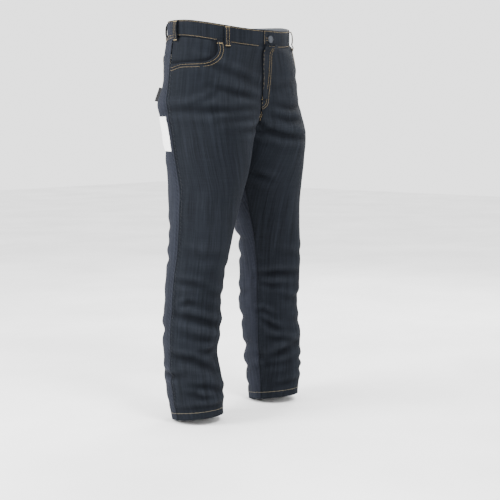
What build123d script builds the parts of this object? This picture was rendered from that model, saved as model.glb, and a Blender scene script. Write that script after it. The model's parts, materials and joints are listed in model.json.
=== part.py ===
"""Protective work trousers with cut-protection pads in the fronts of the legs.

The origin is the centre of the wearer's waist, SIDE_DROP above the top edge of
the waistband at the sides. +Z is up, the wearer faces -Y and the wearer's right
leg is on the -X side. All sizes are millimetres.
"""
from build123d import *
import os
from collections import namedtuple
from math import atan2, cos, degrees, pi, radians, sin, sqrt

os.makedirs("parts", exist_ok=True)

# ---------------------------------------------------------------- driving sizes
WAIST_HALF_WIDTH = 174
WAIST_FRONT = -131
WAIST_BACK = 120
HIP_HALF_WIDTH = 200
CROTCH_DEPTH = 292
KNEE_DEPTH = 530
INSEAM = 675
HEM_DEPTH = CROTCH_DEPTH + INSEAM
SIDE_DROP = 16
FRONT_DIP = 40
BAND_HEIGHT = 38
CLOTH = 1.2

# How far under the cloth's outer face each layer starts and ends.
OUTER_PLY = (0.0, CLOTH)
BAND_PLY = (-1.0, 1.2)
FACING_PLY = (1.5, 2.7)
POCKET_BACK_PLY = (1.6, 2.6)
POCKET_BAG_PLY = (3.0, 4.2)
PAD_PLY = (4.6, 9.6)
LINING_PLY = (10.2, 11.0)
PATCH_PLY = (-1.5, -0.3)
HEM_PLY = (-0.6, 2.4)

# Levels where the cloth is cut so that the legs can swing.
HIP_BAND_TOP = -217
HIP_BAND_BOTTOM = -345
KNEE_BAND = 70
BODY_GAP = 1.5
PAD_TOP = -92
PAD_START = 12
PAD_END = 160
PAD_HEM_MARGIN = 45
HEM_HEIGHT = 17

# Half of the trousers, for the wearer's left. At each level: how far out and in
# the ring reaches, its front and back, how square it is and how far it toes out.
Ring = namedtuple("Ring", "level out inner front back square toe tilt")
RINGS = [
    Ring(30, WAIST_HALF_WIDTH, -WAIST_HALF_WIDTH, WAIST_FRONT, WAIST_BACK, 2.0, 0, 0),
    Ring(-40, WAIST_HALF_WIDTH, -WAIST_HALF_WIDTH, WAIST_FRONT, WAIST_BACK, 2.0, 0, 0),
    Ring(-114, 186, -110, -128, 114, 2.3, 0, 0),
    Ring(-160, 192, -90, -126, 114, 2.3, 0, 0),
    Ring(-205, 196, -55, -126, 113, 2.3, 0, 0),
    Ring(-240, 199, -34, -131, 103, 2.3, 0, 0),
    Ring(-265, HIP_HALF_WIDTH, -14, -137, 94, 2.3, 0, 0),
    Ring(-CROTCH_DEPTH, HIP_HALF_WIDTH, 4, -140, 85, 2.2, 0, 0),
    Ring(-370, 196, 14, -132, 78, 2.1, 3, 0),
    Ring(-460, 192, 40, -118, 72, 2.05, 6, 0),
    Ring(-550, 196, 66, -108, 64, 2.0, 8, 0),
    Ring(-640, 205, 84, -98, 66, 2.0, 9, 0),
    Ring(-730, 212, 88, -92, 66, 2.0, 9, 0),
    Ring(-820, 216, 88, -92, 62, 2.0, 9, 2),
    Ring(-900, 214, 88, -94, 50, 2.0, 9, 5),
    Ring(-HEM_DEPTH, 208, 86, -94, 38, 2.0, 9, 8),
]
# The outseam lies behind the middle of the side at the hip and returns to it by the thigh.
OUTSEAM_SHIFT = 14
SHIFT_TOP = -300
SHIFT_END = -430
LEVEL_STEP = 20
SPLINE_STEPS = 14
SEAM_GAP = 0.3
SIDES = {"right": -1, "left": 1}

# Fly, zip and button.
FLY_FREE_EDGE = -21
FLY_HINGE_EDGE = 20
FLY_TOP = (0, -131.5, -62)
FLY_FOOT = (0, -121.5, -205)
FLY_LENGTH = 171
ZIP_WIDTH = 2.4
ZIP_DEPTH = 13
BUTTON_RADIUS = 8.5
TACK_RADIUS = 1.2
RUNNING_CLEARANCE = 0.05

FLY_START = 17
FLY_ROUND = 24
RIGHT_FRONT_STOP = 9
PAD_STOP = 30
LINING_STOP = 26
ZIP_START = 4
ZIP_LENGTH = 134
TOOTH_PITCH = 3
SLIDER_START = 5
SLIDER_LENGTH = 13
PULL_LENGTH = 20
PULL_PIN = 0.7
BUTTON_LEVEL = -FRONT_DIP - BAND_HEIGHT / 2
BUTTONHOLE_LENGTH = 18
BUTTONHOLE_WIDTH = 3.6
TAB_BACK = -WAIST_FRONT + 1.6
TAB_THICKNESS = 1.6

# Pockets, yoke, flag and label.
POCKET_EDGE = 140
POCKET_FLOOR = -118
POCKET_ROUND = 40
YOKE_CENTRE = -112
YOKE_SLOPE = 17
BACK_POCKET = [(28, -104), (150, -96), (146, -198), (88, -213), (30, -202)]
FLAG_LEVEL = -190
FLAG_TURN = 44
FLAG_WIDTH = 8
FLAG_HEIGHT = 34
LABEL_TOP = -243
LABEL_BOTTOM = -325

# Belt loops.
LOOP_WIDTH = 15
LOOP_GAP = 7
LOOP_STRAP = 2
LOOP_BELOW = 12
LOOP_ANGLES = (42, 96, 140, 180, 220, 264, 318)


def ring_at(level):
    """The ring at any level, on a smooth curve through the listed ones."""
    last = len(RINGS) - 2
    index = 0
    while index < last and RINGS[index + 1].level > level:
        index += 1
    before = RINGS[max(index - 1, 0)]
    upper = RINGS[index]
    lower = RINGS[index + 1]
    after = RINGS[min(index + 2, last + 1)]
    span = upper.level - lower.level
    part = (upper.level - level) / span
    values = []
    for a, b, c, d in zip(before[1:], upper[1:], lower[1:], after[1:]):
        slope_b = (c - a) / (before.level - lower.level) * span
        slope_c = (d - b) / (upper.level - after.level) * span
        values.append(
            (2 * part**3 - 3 * part**2 + 1) * b
            + (part**3 - 2 * part**2 + part) * slope_b
            + (3 * part**2 - 2 * part**3) * c
            + (part**3 - part**2) * slope_c
        )
    return Ring(level, *values)


def signed_power(value, exponent):
    """The power of a number that keeps its sign."""
    return (1 if value >= 0 else -1) * abs(value) ** exponent


def seamwise(level, turn):
    """The angle round the ring for a turn counted from the outseam."""
    part = min(max((level - SHIFT_END) / (SHIFT_TOP - SHIFT_END), 0), 1)
    shift = OUTSEAM_SHIFT * part * part * (3 - 2 * part)
    return turn + shift * max(cos(radians(turn)), 0) ** 2


def ring_point(side, level, depth, turn):
    """A point at a turn angle on a ring: 0 outseam, 90 back, -90 front, 180 inseam."""
    turn = seamwise(level, turn)
    ring = ring_at(level)
    reach = (ring.out - ring.inner) / 2 - depth
    girth = (ring.back - ring.front) / 2 - depth
    along = reach * signed_power(cos(radians(turn)), 2 / ring.square)
    across = girth * signed_power(sin(radians(turn)), 2 / ring.square)
    toe = radians(ring.toe)
    x = (ring.out + ring.inner) / 2 + along * cos(toe) - across * sin(toe)
    y = (ring.back + ring.front) / 2 + across * cos(toe) + along * sin(toe)
    return side * x, y


def turn_at(level, depth, x_stop):
    """The turn angle where a ring meets a plane x_stop away from the middle."""
    ring = ring_at(level)
    reach = (ring.out - ring.inner) / 2 - depth
    offset = (x_stop - (ring.out + ring.inner) / 2) / reach
    if offset <= -1:
        return 180
    return 90 + degrees(atan2(-signed_power(offset, ring.square / 2),
                              sqrt(max(1 - abs(offset) ** ring.square, 0))))


def level_plane(level):
    """The plane of one ring, tilted near the hem so that the front rides higher."""
    ring = ring_at(level)
    middle = (ring.front + ring.back) / 2
    tilt = radians(ring.tilt)
    return Plane(origin=(0, middle, level), x_dir=(1, 0, 0), z_dir=(0, sin(tilt), cos(tilt)))


def levels_between(top, bottom):
    """The two end levels, and the common grid levels that lie well inside them."""
    grid = range(-LEVEL_STEP * 60, LEVEL_STEP * 3, LEVEL_STEP)
    inside = [level for level in grid if bottom + LEVEL_STEP / 4 < level < top - LEVEL_STEP / 4]
    return [top, *reversed(inside), bottom]


def panel(side, face, ply, top, bottom, start=SEAM_GAP, stop=180 - SEAM_GAP, x_stop=0.3):
    """A curved sheet on the front or the back of one half, between two levels.

    It runs from a turn angle at the outseam to another angle, or to where it
    meets the plane x_stop beside the middle of the garment. A hairline gap at
    the seams keeps neighbouring panels apart.
    """
    way = -1 if face == "front" else 1
    with BuildPart() as sheet:
        for level in levels_between(top, bottom):
            plane = level_plane(level)
            ends = [min(stop, turn_at(level, depth, x_stop)) for depth in ply]
            with BuildSketch(plane):
                with BuildLine():
                    edges = []
                    for depth, end in zip(ply, ends):
                        points = []
                        for i in range(SPLINE_STEPS + 1):
                            turn = start + (end - start) * i / SPLINE_STEPS
                            x, y = ring_point(side, level, depth, way * turn)
                            points.append((x, y - plane.origin.Y))
                        edges.append(Spline(*points))
                    Line(edges[0] @ 0, edges[1] @ 0)
                    Line(edges[0] @ 1, edges[1] @ 1)
                make_face()
        loft(ruled=True)
    return sheet


def front_view(outline, near, far):
    """A block whose outline is drawn on the XZ plane, reaching from y near to far."""
    with BuildPart() as block:
        with BuildSketch(Plane.XZ.offset(-far)):
            with BuildLine():
                Polyline(*outline, close=True)
            make_face()
        extrude(amount=far - near)
    return block


def band_drop(y):
    """How far the waistband's top edge has dropped at a distance y behind the waist's centre."""
    towards_front = max(0.0, (-y - 5) / (-WAIST_FRONT - 5))
    return SIDE_DROP + (FRONT_DIP - SIDE_DROP) * towards_front**1.6


def band_edge(drop):
    """Side view of an edge that dips at the centre front, as (y, z) points."""
    return [(y, -band_drop(y) - drop) for y in (-180, WAIST_FRONT, -98, -60, -30, 0, 60, 220)]


def side_view_band(top, bottom):
    """A block that fills the waistband's side view, between two drops below its top edge."""
    with BuildPart() as block:
        with BuildSketch(Plane.YZ.offset(-260)):
            with BuildLine():
                upper = Spline(*band_edge(top))
                lower = Spline(*band_edge(bottom))
                Line(upper @ 0, lower @ 0)
                Line(upper @ 1, lower @ 1)
            make_face()
        extrude(amount=520)
    return block


def save(piece, name):
    """Label a finished piece and write its file."""
    piece.part.label = name
    export_step(piece.part, f"parts/{name}.step")



# ------------------------------------------------------------------ trim blocks
def below_band():
    """Everything lower than the waistband's bottom edge."""
    return side_view_band(BAND_HEIGHT, 320)


def pocket_window(side, grow=0.0):
    """The rounded opening that the front pocket cuts out towards the side seam."""
    width, height = 110, 130
    with BuildPart() as block:
        with BuildSketch(Plane.XZ) as window:
            with Locations((side * (POCKET_EDGE - grow + width / 2), POCKET_FLOOR - grow + height / 2)):
                Rectangle(width, height)
            inner_corner = window.vertices().sort_by(lambda v: abs(v.X) + v.Y)[0]
            fillet(inner_corner, POCKET_ROUND)
        extrude(amount=220)
    return block


def yoke_plane(side):
    """The slanted seam between the back yoke and the back panel."""
    slope = radians(YOKE_SLOPE)
    return Plane(origin=(0, 0, YOKE_CENTRE), x_dir=(0, 1, 0), z_dir=(-side * sin(slope), 0, cos(slope)))


# -------------------------------------------------------------------- waistband
def waist_tube(ply):
    """One ply of the waistband: an oval tube trimmed to the band's side view."""
    middle = (WAIST_FRONT + WAIST_BACK) / 2
    reach = (WAIST_BACK - WAIST_FRONT) / 2
    with BuildPart() as tube:
        with BuildSketch(Plane.XY.offset(-100)):
            with Locations((0, middle)):
                Ellipse(WAIST_HALF_WIDTH - ply[0], reach - ply[0])
                Ellipse(WAIST_HALF_WIDTH - ply[1], reach - ply[1], mode=Mode.SUBTRACT)
        extrude(amount=130)
        with BuildSketch(Plane.XZ.offset(100)):
            with Locations((0, BUTTON_LEVEL)):
                Circle(TACK_RADIUS)
        extrude(amount=60, mode=Mode.SUBTRACT)
        add(side_view_band(0, BAND_HEIGHT).part, mode=Mode.INTERSECT)
        with BuildSketch(Plane.XZ.offset(100)):
            with Locations((FLY_HINGE_EDGE + 0.5, BUTTON_LEVEL)):
                Rectangle(1, 3 * BAND_HEIGHT)
        extrude(amount=60, mode=Mode.SUBTRACT)
    return tube


save(waist_tube(BAND_PLY), "waistband_outer")
save(waist_tube(FACING_PLY), "waistband_facing")

with BuildPart() as waistband_tab:
    with BuildSketch(Plane.XZ.offset(TAB_BACK)) as tab_face:
        with Locations(((FLY_FREE_EDGE + FLY_HINGE_EDGE) / 2, BUTTON_LEVEL)):
            RectangleRounded(FLY_HINGE_EDGE - FLY_FREE_EDGE, BAND_HEIGHT, 2)
        with Locations((BUTTONHOLE_LENGTH / 4, BUTTON_LEVEL)):
            SlotOverall(BUTTONHOLE_LENGTH, BUTTONHOLE_WIDTH, mode=Mode.SUBTRACT)
    extrude(amount=TAB_THICKNESS)
save(waistband_tab, "waistband_tab")

BUTTON_BACK = TAB_BACK + TAB_THICKNESS + 0.6
BUTTON_THICKNESS = 2.6
with BuildPart() as button:
    with BuildSketch(Plane.XZ.offset(BUTTON_BACK)):
        with Locations((0, BUTTON_LEVEL)):
            Circle(BUTTON_RADIUS)
    extrude(amount=BUTTON_THICKNESS)
    front_rim = button.edges().group_by(Axis.Y)[0]
    fillet(front_rim, 1)
    with BuildSketch(Plane.XZ.offset(BUTTON_BACK + BUTTON_THICKNESS - 0.6)):
        with Locations((0, BUTTON_LEVEL)):
            Circle(BUTTON_RADIUS - 2)
            Circle(BUTTON_RADIUS - 3.2, mode=Mode.SUBTRACT)
    extrude(amount=1, mode=Mode.SUBTRACT)
    with BuildSketch(Plane.XZ.offset(BUTTON_BACK - 0.1)):
        with Locations((0, BUTTON_LEVEL)):
            Circle(TACK_RADIUS + RUNNING_CLEARANCE)
    extrude(amount=1.9, mode=Mode.SUBTRACT)
save(button, "button")

with BuildPart() as button_tack:
    tack_head = -WAIST_FRONT - FACING_PLY[1] - 0.1
    with BuildSketch(Plane.XZ.offset(tack_head)):
        with Locations((0, BUTTON_LEVEL)):
            Circle(TACK_RADIUS)
    extrude(amount=BUTTON_BACK + 1.6 - tack_head)
    with BuildSketch(Plane.XZ.offset(tack_head - 1)):
        with Locations((0, BUTTON_LEVEL)):
            Circle(4.5)
    extrude(amount=1)
save(button_tack, "button_tack")


def surface_beyond(x, y, away, level):
    """How far the cloth at a level lies beyond a point, in the direction away."""
    side = -1 if x < 0 else 1
    points = [ring_point(side, level, 0, turn) for turn in range(-180, 180, 3)]
    return max((px - x) * away.X + (py - y) * away.Y for px, py in points)


def belt_loop(angle):
    """One belt loop: a strap that stands off the waistband so that a belt passes behind it."""
    turn = radians(angle)
    middle = (WAIST_FRONT + WAIST_BACK) / 2
    reach = (WAIST_BACK - WAIST_FRONT) / 2
    x = -(WAIST_HALF_WIDTH + 1) * sin(turn)
    y = middle - (reach + 1) * cos(turn)
    away = Vector(x / WAIST_HALF_WIDTH**2, (y - middle) / reach**2, 0).normalized()
    top = -band_drop(y) - 1
    bottom = top - BAND_HEIGHT - LOOP_BELOW
    stand = LOOP_GAP + LOOP_STRAP
    foot = 0.2 + max(surface_beyond(x, y, away, bottom), surface_beyond(x, y, away, bottom + 5))
    side_plane = Plane(origin=(x, y, 0), x_dir=away, z_dir=away.cross(Vector(0, 0, 1)))
    with BuildPart() as loop:
        with BuildSketch(side_plane):
            with BuildLine():
                Polyline((0.1, top), (LOOP_STRAP, top), (stand, top - 8), (stand, bottom + 8),
                         (foot + LOOP_STRAP, bottom), (foot, bottom), (foot, bottom + 5),
                         (LOOP_GAP, bottom + 11), (LOOP_GAP, top - 11), (0.1, top - 5), close=True)
            make_face()
        extrude(amount=LOOP_WIDTH / 2, both=True)
    return loop


with BuildPart() as belt_loops:
    for loop_angle in LOOP_ANGLES:
        add(belt_loop(loop_angle).part)
save(belt_loops, "belt_loops")

# ------------------------------------------------------------- seat and pockets
with BuildPart() as pocket_backings:
    for side in SIDES.values():
        with BuildPart(mode=Mode.PRIVATE) as backing:
            add(panel(side, "front", POCKET_BACK_PLY, -30, POCKET_FLOOR - 18).part)
            add(pocket_window(side, grow=14).part, mode=Mode.INTERSECT)
            add(below_band().part, mode=Mode.INTERSECT)
        add(backing.part)
save(pocket_backings, "pocket_backings")

with BuildPart() as pocket_bags:
    for side in SIDES.values():
        add(panel(side, "front", POCKET_BAG_PLY, -82, -212, start=6, stop=66).part)
save(pocket_bags, "pocket_bags")

with BuildPart() as back_pockets:
    for side in SIDES.values():
        outline = [(side * x, z) for x, z in BACK_POCKET]
        with BuildPart(mode=Mode.PRIVATE) as patch:
            add(panel(side, "back", PATCH_PLY, -85, HIP_BAND_TOP).part)
            add(front_view(outline, 0, 200).part, mode=Mode.INTERSECT)
        add(patch.part)
save(back_pockets, "back_pockets")

with BuildPart() as pocket_flag:
    flag_x, flag_y = ring_point(-1, FLAG_LEVEL, PATCH_PLY[0], FLAG_TURN)
    flag_plane = Plane(origin=(flag_x, flag_y, FLAG_LEVEL), x_dir=(-0.64, 0.77, 0), z_dir=(0.77, 0.64, 0))
    with BuildSketch(flag_plane):
        with Locations((FLAG_WIDTH / 2 + 0.2, 0)):
            Rectangle(FLAG_WIDTH, FLAG_HEIGHT)
    extrude(amount=0.6, both=True)
save(pocket_flag, "pocket_flag")

save(panel(-1, "back", (-0.9, -0.3), LABEL_TOP, LABEL_BOTTOM, start=6, stop=48), "blank_label")

for name, side in SIDES.items():
    centre_stop = FLY_HINGE_EDGE + 1 if side > 0 else RIGHT_FRONT_STOP
    with BuildPart() as front_panel:
        add(panel(side, "front", OUTER_PLY, -20, HIP_BAND_TOP, x_stop=centre_stop).part)
        add(below_band().part, mode=Mode.INTERSECT)
        add(pocket_window(side).part, mode=Mode.SUBTRACT)
    save(front_panel, f"{name}_front_panel")

    for piece, keep in (("back_yoke", Keep.TOP), ("back_panel", Keep.BOTTOM)):
        with BuildPart() as back_piece:
            add(panel(side, "back", OUTER_PLY, -20, HIP_BAND_TOP).part)
            add(below_band().part, mode=Mode.INTERSECT)
            split(bisect_by=yoke_plane(side), keep=keep)
        save(back_piece, f"{name}_{piece}")

    hip_pad = panel(side, "front", PAD_PLY, PAD_TOP, HIP_BAND_TOP, start=PAD_START, x_stop=PAD_STOP)
    save(hip_pad, f"{name}_hip_pad")

    with BuildPart() as seat_lining:
        add(panel(side, "front", LINING_PLY, -84, HIP_BAND_TOP, x_stop=LINING_STOP).part)
        add(panel(side, "back", LINING_PLY, -84, HIP_BAND_TOP).part)
    save(seat_lining, f"{name}_seat_lining")

# ---------------------------------------------------------------- fly and zip
fly_run = Vector(*FLY_FOOT) - Vector(*FLY_TOP)
fly_down = fly_run.normalized()
fly_out = fly_down.cross(Vector(1, 0, 0))
FLY_FACE = Plane(origin=FLY_TOP, x_dir=(1, 0, 0), z_dir=fly_out)
FLY_SECTION = Plane(origin=FLY_TOP, x_dir=(1, 0, 0), z_dir=fly_down)


def fly_bar(x_range, out_range, start, length):
    """A straight bar that runs down the fly, given across, outwards and along it."""
    with BuildPart() as bar:
        with BuildSketch(FLY_SECTION.offset(start)):
            with Locations((sum(x_range) / 2, sum(out_range) / 2)):
                Rectangle(x_range[1] - x_range[0], out_range[1] - out_range[0])
        extrude(amount=length)
    return bar


with BuildPart() as fly_overlap:
    with BuildSketch(FLY_FACE):
        with BuildLine():
            Line((FLY_FREE_EDGE, -FLY_START), (FLY_HINGE_EDGE, -FLY_START))
            hinge_side = Line((FLY_HINGE_EDGE, -FLY_START), (FLY_HINGE_EDGE, FLY_ROUND - FLY_LENGTH))
            foot = TangentArc((FLY_HINGE_EDGE, FLY_ROUND - FLY_LENGTH),
                              (FLY_HINGE_EDGE - FLY_ROUND, -FLY_LENGTH), tangent=(0, -1))
            Spline(foot @ 1, (-8, -0.88 * FLY_LENGTH), (-17, -0.5 * FLY_LENGTH), (FLY_FREE_EDGE, -FLY_START))
        make_face()
    extrude(amount=CLOTH)
save(fly_overlap, "fly_overlap")

with BuildPart() as fly_facing:
    add(fly_bar((-6, FLY_HINGE_EDGE - 1), (-1.4, -0.3), FLY_START + 2, 0.8 * FLY_LENGTH - FLY_START).part)
save(fly_facing, "fly_facing")

with BuildPart() as fly_shield:
    back = -ZIP_DEPTH - 5.6
    add(fly_bar((-22, 22), (back - CLOTH, back), FLY_START, ZIP_LENGTH - 4).part)
    add(fly_bar((-20.2, -19), (back, -ZIP_DEPTH + 0.3), FLY_START, ZIP_LENGTH - 4).part)
save(fly_shield, "fly_shield")

for name, side in SIDES.items():
    tape_edges = sorted((side * (ZIP_WIDTH + 0.5), side * 19))
    tape = fly_bar(tape_edges, (-ZIP_DEPTH - 0.3, -ZIP_DEPTH + 0.3), ZIP_START, ZIP_LENGTH)
    save(tape, f"{name}_zip_tape")

with BuildPart() as zip_teeth:
    for side in SIDES.values():
        tooth_edges = sorted((side * 0.5, side * (ZIP_WIDTH + 0.5)))
        for i in range(int(ZIP_LENGTH / TOOTH_PITCH)):
            add(fly_bar(tooth_edges, (-ZIP_DEPTH - 1.1, -ZIP_DEPTH + 1.1),
                        ZIP_START + (i + (0.5 if side > 0 else 0)) * TOOTH_PITCH, 0.5 * TOOTH_PITCH).part)
save(zip_teeth, "zip_teeth")

save(fly_bar((-3.2, 3.2), (-ZIP_DEPTH - 1.6, -ZIP_DEPTH + 1.6), ZIP_START + ZIP_LENGTH + 0.4, 4), "zip_stop")

PIN_LINE = -ZIP_DEPTH + 5.6
with BuildPart() as zip_slider:
    add(fly_bar((-5.5, 5.5), (-ZIP_DEPTH + 1.8, -ZIP_DEPTH + 2.8), SLIDER_START, SLIDER_LENGTH).part)
    add(fly_bar((-5.5, 5.5), (-ZIP_DEPTH - 2.8, -ZIP_DEPTH - 1.8), SLIDER_START, SLIDER_LENGTH).part)
    add(fly_bar((-0.3, 0.3), (-ZIP_DEPTH - 2, -ZIP_DEPTH + 2), SLIDER_START, 4).part)
    for side in SIDES.values():
        ear_edges = sorted((side * 1.8, side * 2.6))
        add(fly_bar(ear_edges, (-ZIP_DEPTH + 2.6, PIN_LINE + 1.2), SLIDER_START + 1.5, 4).part)
    with BuildSketch(Plane(origin=FLY_SECTION.from_local_coords((-2.6, PIN_LINE, SLIDER_START + 3.5)),
                           x_dir=fly_down, z_dir=(1, 0, 0))):
        Circle(PULL_PIN)
    extrude(amount=5.2)
save(zip_slider, "zip_slider")

with BuildPart() as zip_pull:
    eye_plane = Plane(origin=FLY_SECTION.from_local_coords((-1.6, PIN_LINE, SLIDER_START + 3.5)),
                      x_dir=fly_down, z_dir=(1, 0, 0))
    with BuildSketch(eye_plane):
        Circle(PULL_PIN + 0.9)
        with Locations((3, 0)):
            Rectangle(4, CLOTH)
        Circle(PULL_PIN + RUNNING_CLEARANCE, mode=Mode.SUBTRACT)
    extrude(amount=3.2)
    with BuildSketch(FLY_FACE.offset(PIN_LINE - CLOTH / 2)):
        with Locations((0, -SLIDER_START - 3.5 - 4.5 - PULL_LENGTH / 2)):
            SlotOverall(PULL_LENGTH, 6, rotation=90)
        with Locations((0, -SLIDER_START - 4 - PULL_LENGTH)):
            Circle(1.4, mode=Mode.SUBTRACT)
    extrude(amount=CLOTH)
save(zip_pull, "zip_pull")

# ------------------------------------------------------------------------ legs
KNEE_TOP = KNEE_BAND - KNEE_DEPTH
KNEE_BOTTOM = -KNEE_DEPTH - KNEE_BAND
HEM_TOP = HEM_HEIGHT - HEM_DEPTH


def leg_cloth(side, ply, top, bottom):
    """Both outer panels of a leg between two levels, meeting at the two seams."""
    with BuildPart() as cloth:
        for face in ("front", "back"):
            add(panel(side, face, ply, top, bottom).part)
    return cloth


def leg_layers(side, top, bottom):
    """The pad and the lining of a stretch of leg that bends with the cloth."""
    with BuildPart() as layers:
        add(panel(side, "front", PAD_PLY, top, bottom, start=PAD_START, stop=PAD_END, x_stop=12).part)
        add(leg_cloth(side, LINING_PLY, top, bottom).part)
    return layers


for name, side in SIDES.items():
    save(leg_cloth(side, OUTER_PLY, HIP_BAND_TOP, HIP_BAND_BOTTOM), f"{name}_hip_cloth")
    save(leg_layers(side, HIP_BAND_TOP, HIP_BAND_BOTTOM), f"{name}_hip_layers")
    thigh_top = HIP_BAND_BOTTOM - BODY_GAP
    shank_top = KNEE_BOTTOM - BODY_GAP
    save(panel(side, "front", OUTER_PLY, thigh_top, KNEE_TOP), f"{name}_thigh_front")
    save(panel(side, "back", OUTER_PLY, thigh_top, KNEE_TOP), f"{name}_thigh_back")
    save(panel(side, "front", PAD_PLY, thigh_top, KNEE_TOP, start=PAD_START, stop=PAD_END), f"{name}_thigh_pad")
    save(leg_cloth(side, LINING_PLY, thigh_top, KNEE_TOP), f"{name}_thigh_lining")
    save(leg_cloth(side, OUTER_PLY, KNEE_TOP, KNEE_BOTTOM), f"{name}_knee_cloth")
    save(leg_layers(side, KNEE_TOP, KNEE_BOTTOM), f"{name}_knee_layers")
    save(panel(side, "front", OUTER_PLY, shank_top, HEM_TOP), f"{name}_shin_front")
    save(panel(side, "back", OUTER_PLY, shank_top, HEM_TOP), f"{name}_calf_back")
    save(panel(side, "front", PAD_PLY, shank_top, PAD_HEM_MARGIN - HEM_DEPTH, start=PAD_START, stop=PAD_END),
         f"{name}_shin_pad")
    save(leg_cloth(side, LINING_PLY, shank_top, HEM_TOP + 8), f"{name}_shin_lining")
    save(leg_cloth(side, HEM_PLY, HEM_TOP, -HEM_DEPTH), f"{name}_hem")
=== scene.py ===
"""Visual model of protective denim-look trousers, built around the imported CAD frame."""
import json
import math

import bpy
import numpy as np
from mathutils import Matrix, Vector
from mathutils.bvhtree import BVHTree


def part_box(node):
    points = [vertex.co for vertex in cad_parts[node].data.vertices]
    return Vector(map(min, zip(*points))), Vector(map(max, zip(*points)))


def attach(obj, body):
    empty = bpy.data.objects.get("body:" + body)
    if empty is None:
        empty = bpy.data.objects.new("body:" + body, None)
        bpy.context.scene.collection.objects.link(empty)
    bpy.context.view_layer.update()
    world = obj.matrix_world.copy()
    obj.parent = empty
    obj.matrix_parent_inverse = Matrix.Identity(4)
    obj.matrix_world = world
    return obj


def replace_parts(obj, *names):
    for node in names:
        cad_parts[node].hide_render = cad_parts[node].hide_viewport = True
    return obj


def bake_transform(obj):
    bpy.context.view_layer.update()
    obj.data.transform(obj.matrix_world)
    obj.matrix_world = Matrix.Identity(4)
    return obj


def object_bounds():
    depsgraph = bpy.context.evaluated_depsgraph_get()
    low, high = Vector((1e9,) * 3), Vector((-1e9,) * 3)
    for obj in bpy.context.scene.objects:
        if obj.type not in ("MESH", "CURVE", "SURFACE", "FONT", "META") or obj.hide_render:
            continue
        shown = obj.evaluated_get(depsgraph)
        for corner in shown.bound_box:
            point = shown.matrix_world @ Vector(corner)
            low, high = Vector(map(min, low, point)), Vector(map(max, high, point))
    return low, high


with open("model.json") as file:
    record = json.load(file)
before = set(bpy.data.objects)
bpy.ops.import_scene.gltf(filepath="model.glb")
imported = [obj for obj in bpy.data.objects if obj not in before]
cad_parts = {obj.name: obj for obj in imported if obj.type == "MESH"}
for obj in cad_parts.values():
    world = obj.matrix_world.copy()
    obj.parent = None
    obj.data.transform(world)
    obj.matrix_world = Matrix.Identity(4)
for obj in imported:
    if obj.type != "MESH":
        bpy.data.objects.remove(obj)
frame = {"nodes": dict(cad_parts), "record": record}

MM = 0.001
CAMERA_AZIMUTH, CAMERA_PITCH = -50, 6.2
CAMERA_RIGHT, CAMERA_AWAY, CAMERA_UP = 0.055, 3.0, -0.25
CAMERA_LENS, SENSOR_WIDTH = 86.4, 36
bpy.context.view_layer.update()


# ---------------------------------------------------------------------- camera
def make_camera():
    """The viewing angle: from the wearer's right front, a little below the waist."""
    azimuth, pitch = math.radians(CAMERA_AZIMUTH), math.radians(CAMERA_PITCH)
    right = Vector((math.cos(azimuth), math.sin(azimuth), 0))
    level = Vector((-math.sin(azimuth), math.cos(azimuth), 0))
    look = level * math.cos(pitch) - Vector((0, 0, 1)) * math.sin(pitch)
    camera = bpy.data.objects.new("camera", bpy.data.cameras.new("camera"))
    camera.location = right * CAMERA_RIGHT - level * CAMERA_AWAY + Vector((0, 0, CAMERA_UP))
    camera.rotation_mode = "QUATERNION"
    camera.rotation_quaternion = look.to_track_quat("-Z", "Y")
    camera.data.lens = CAMERA_LENS
    camera.data.sensor_width = SENSOR_WIDTH
    bpy.context.scene.collection.objects.link(camera)
    bpy.context.scene.camera = camera


make_camera()


# ------------------------------------------------------------------- materials
def node_tree(name):
    """A new material and its emptied node tree with a Principled shader."""
    material = bpy.data.materials.new(name)
    material.use_nodes = True
    tree = material.node_tree
    tree.nodes.clear()
    out = tree.nodes.new("ShaderNodeOutputMaterial")
    shader = tree.nodes.new("ShaderNodeBsdfPrincipled")
    tree.links.new(shader.outputs[0], out.inputs[0])
    return material, tree, shader


def add_node(tree, kind, **values):
    """A node with its properties and unlinked sockets set."""
    node = tree.nodes.new(kind)
    for key, value in values.items():
        if hasattr(node, key):
            setattr(node, key, value)
        else:
            node.inputs[key.replace("_", " ").title()].default_value = value
    return node


def stretched_noise(tree, vector, scale, detail=3.0, seed=0.0):
    """Noise stretched by a scale per axis, as a socket with values about 0.5."""
    mapping = add_node(tree, "ShaderNodeMapping")
    mapping.inputs["Scale"].default_value = scale
    mapping.inputs["Location"].default_value = (seed, seed, seed)
    tree.links.new(vector, mapping.inputs[0])
    texture = add_node(tree, "ShaderNodeTexNoise", scale=1.0, detail=detail, roughness=0.55)
    tree.links.new(mapping.outputs[0], texture.inputs["Vector"])
    return texture.outputs[0]


def ramp(tree, value, stops):
    """A colour ramp from (position, colour) stops."""
    node = add_node(tree, "ShaderNodeValToRGB")
    elements = node.color_ramp.elements
    while len(elements) < len(stops):
        elements.new(0.5)
    for element, (position, colour) in zip(elements, stops):
        element.position = position
        element.color = (*colour, 1)
    tree.links.new(value, node.inputs[0])
    return node.outputs[0]


def mix(tree, kind, factor, a, b):
    """Mixes two colours; a factor or colour may be a socket or a value."""
    node = add_node(tree, "ShaderNodeMix", data_type="RGBA", blend_type=kind)
    for socket, value in ((node.inputs[0], factor), (node.inputs[6], a), (node.inputs[7], b)):
        if isinstance(value, bpy.types.NodeSocket):
            tree.links.new(value, socket)
        else:
            socket.default_value = value if isinstance(value, float) else (*value, 1)
    return node.outputs[2]


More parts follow.
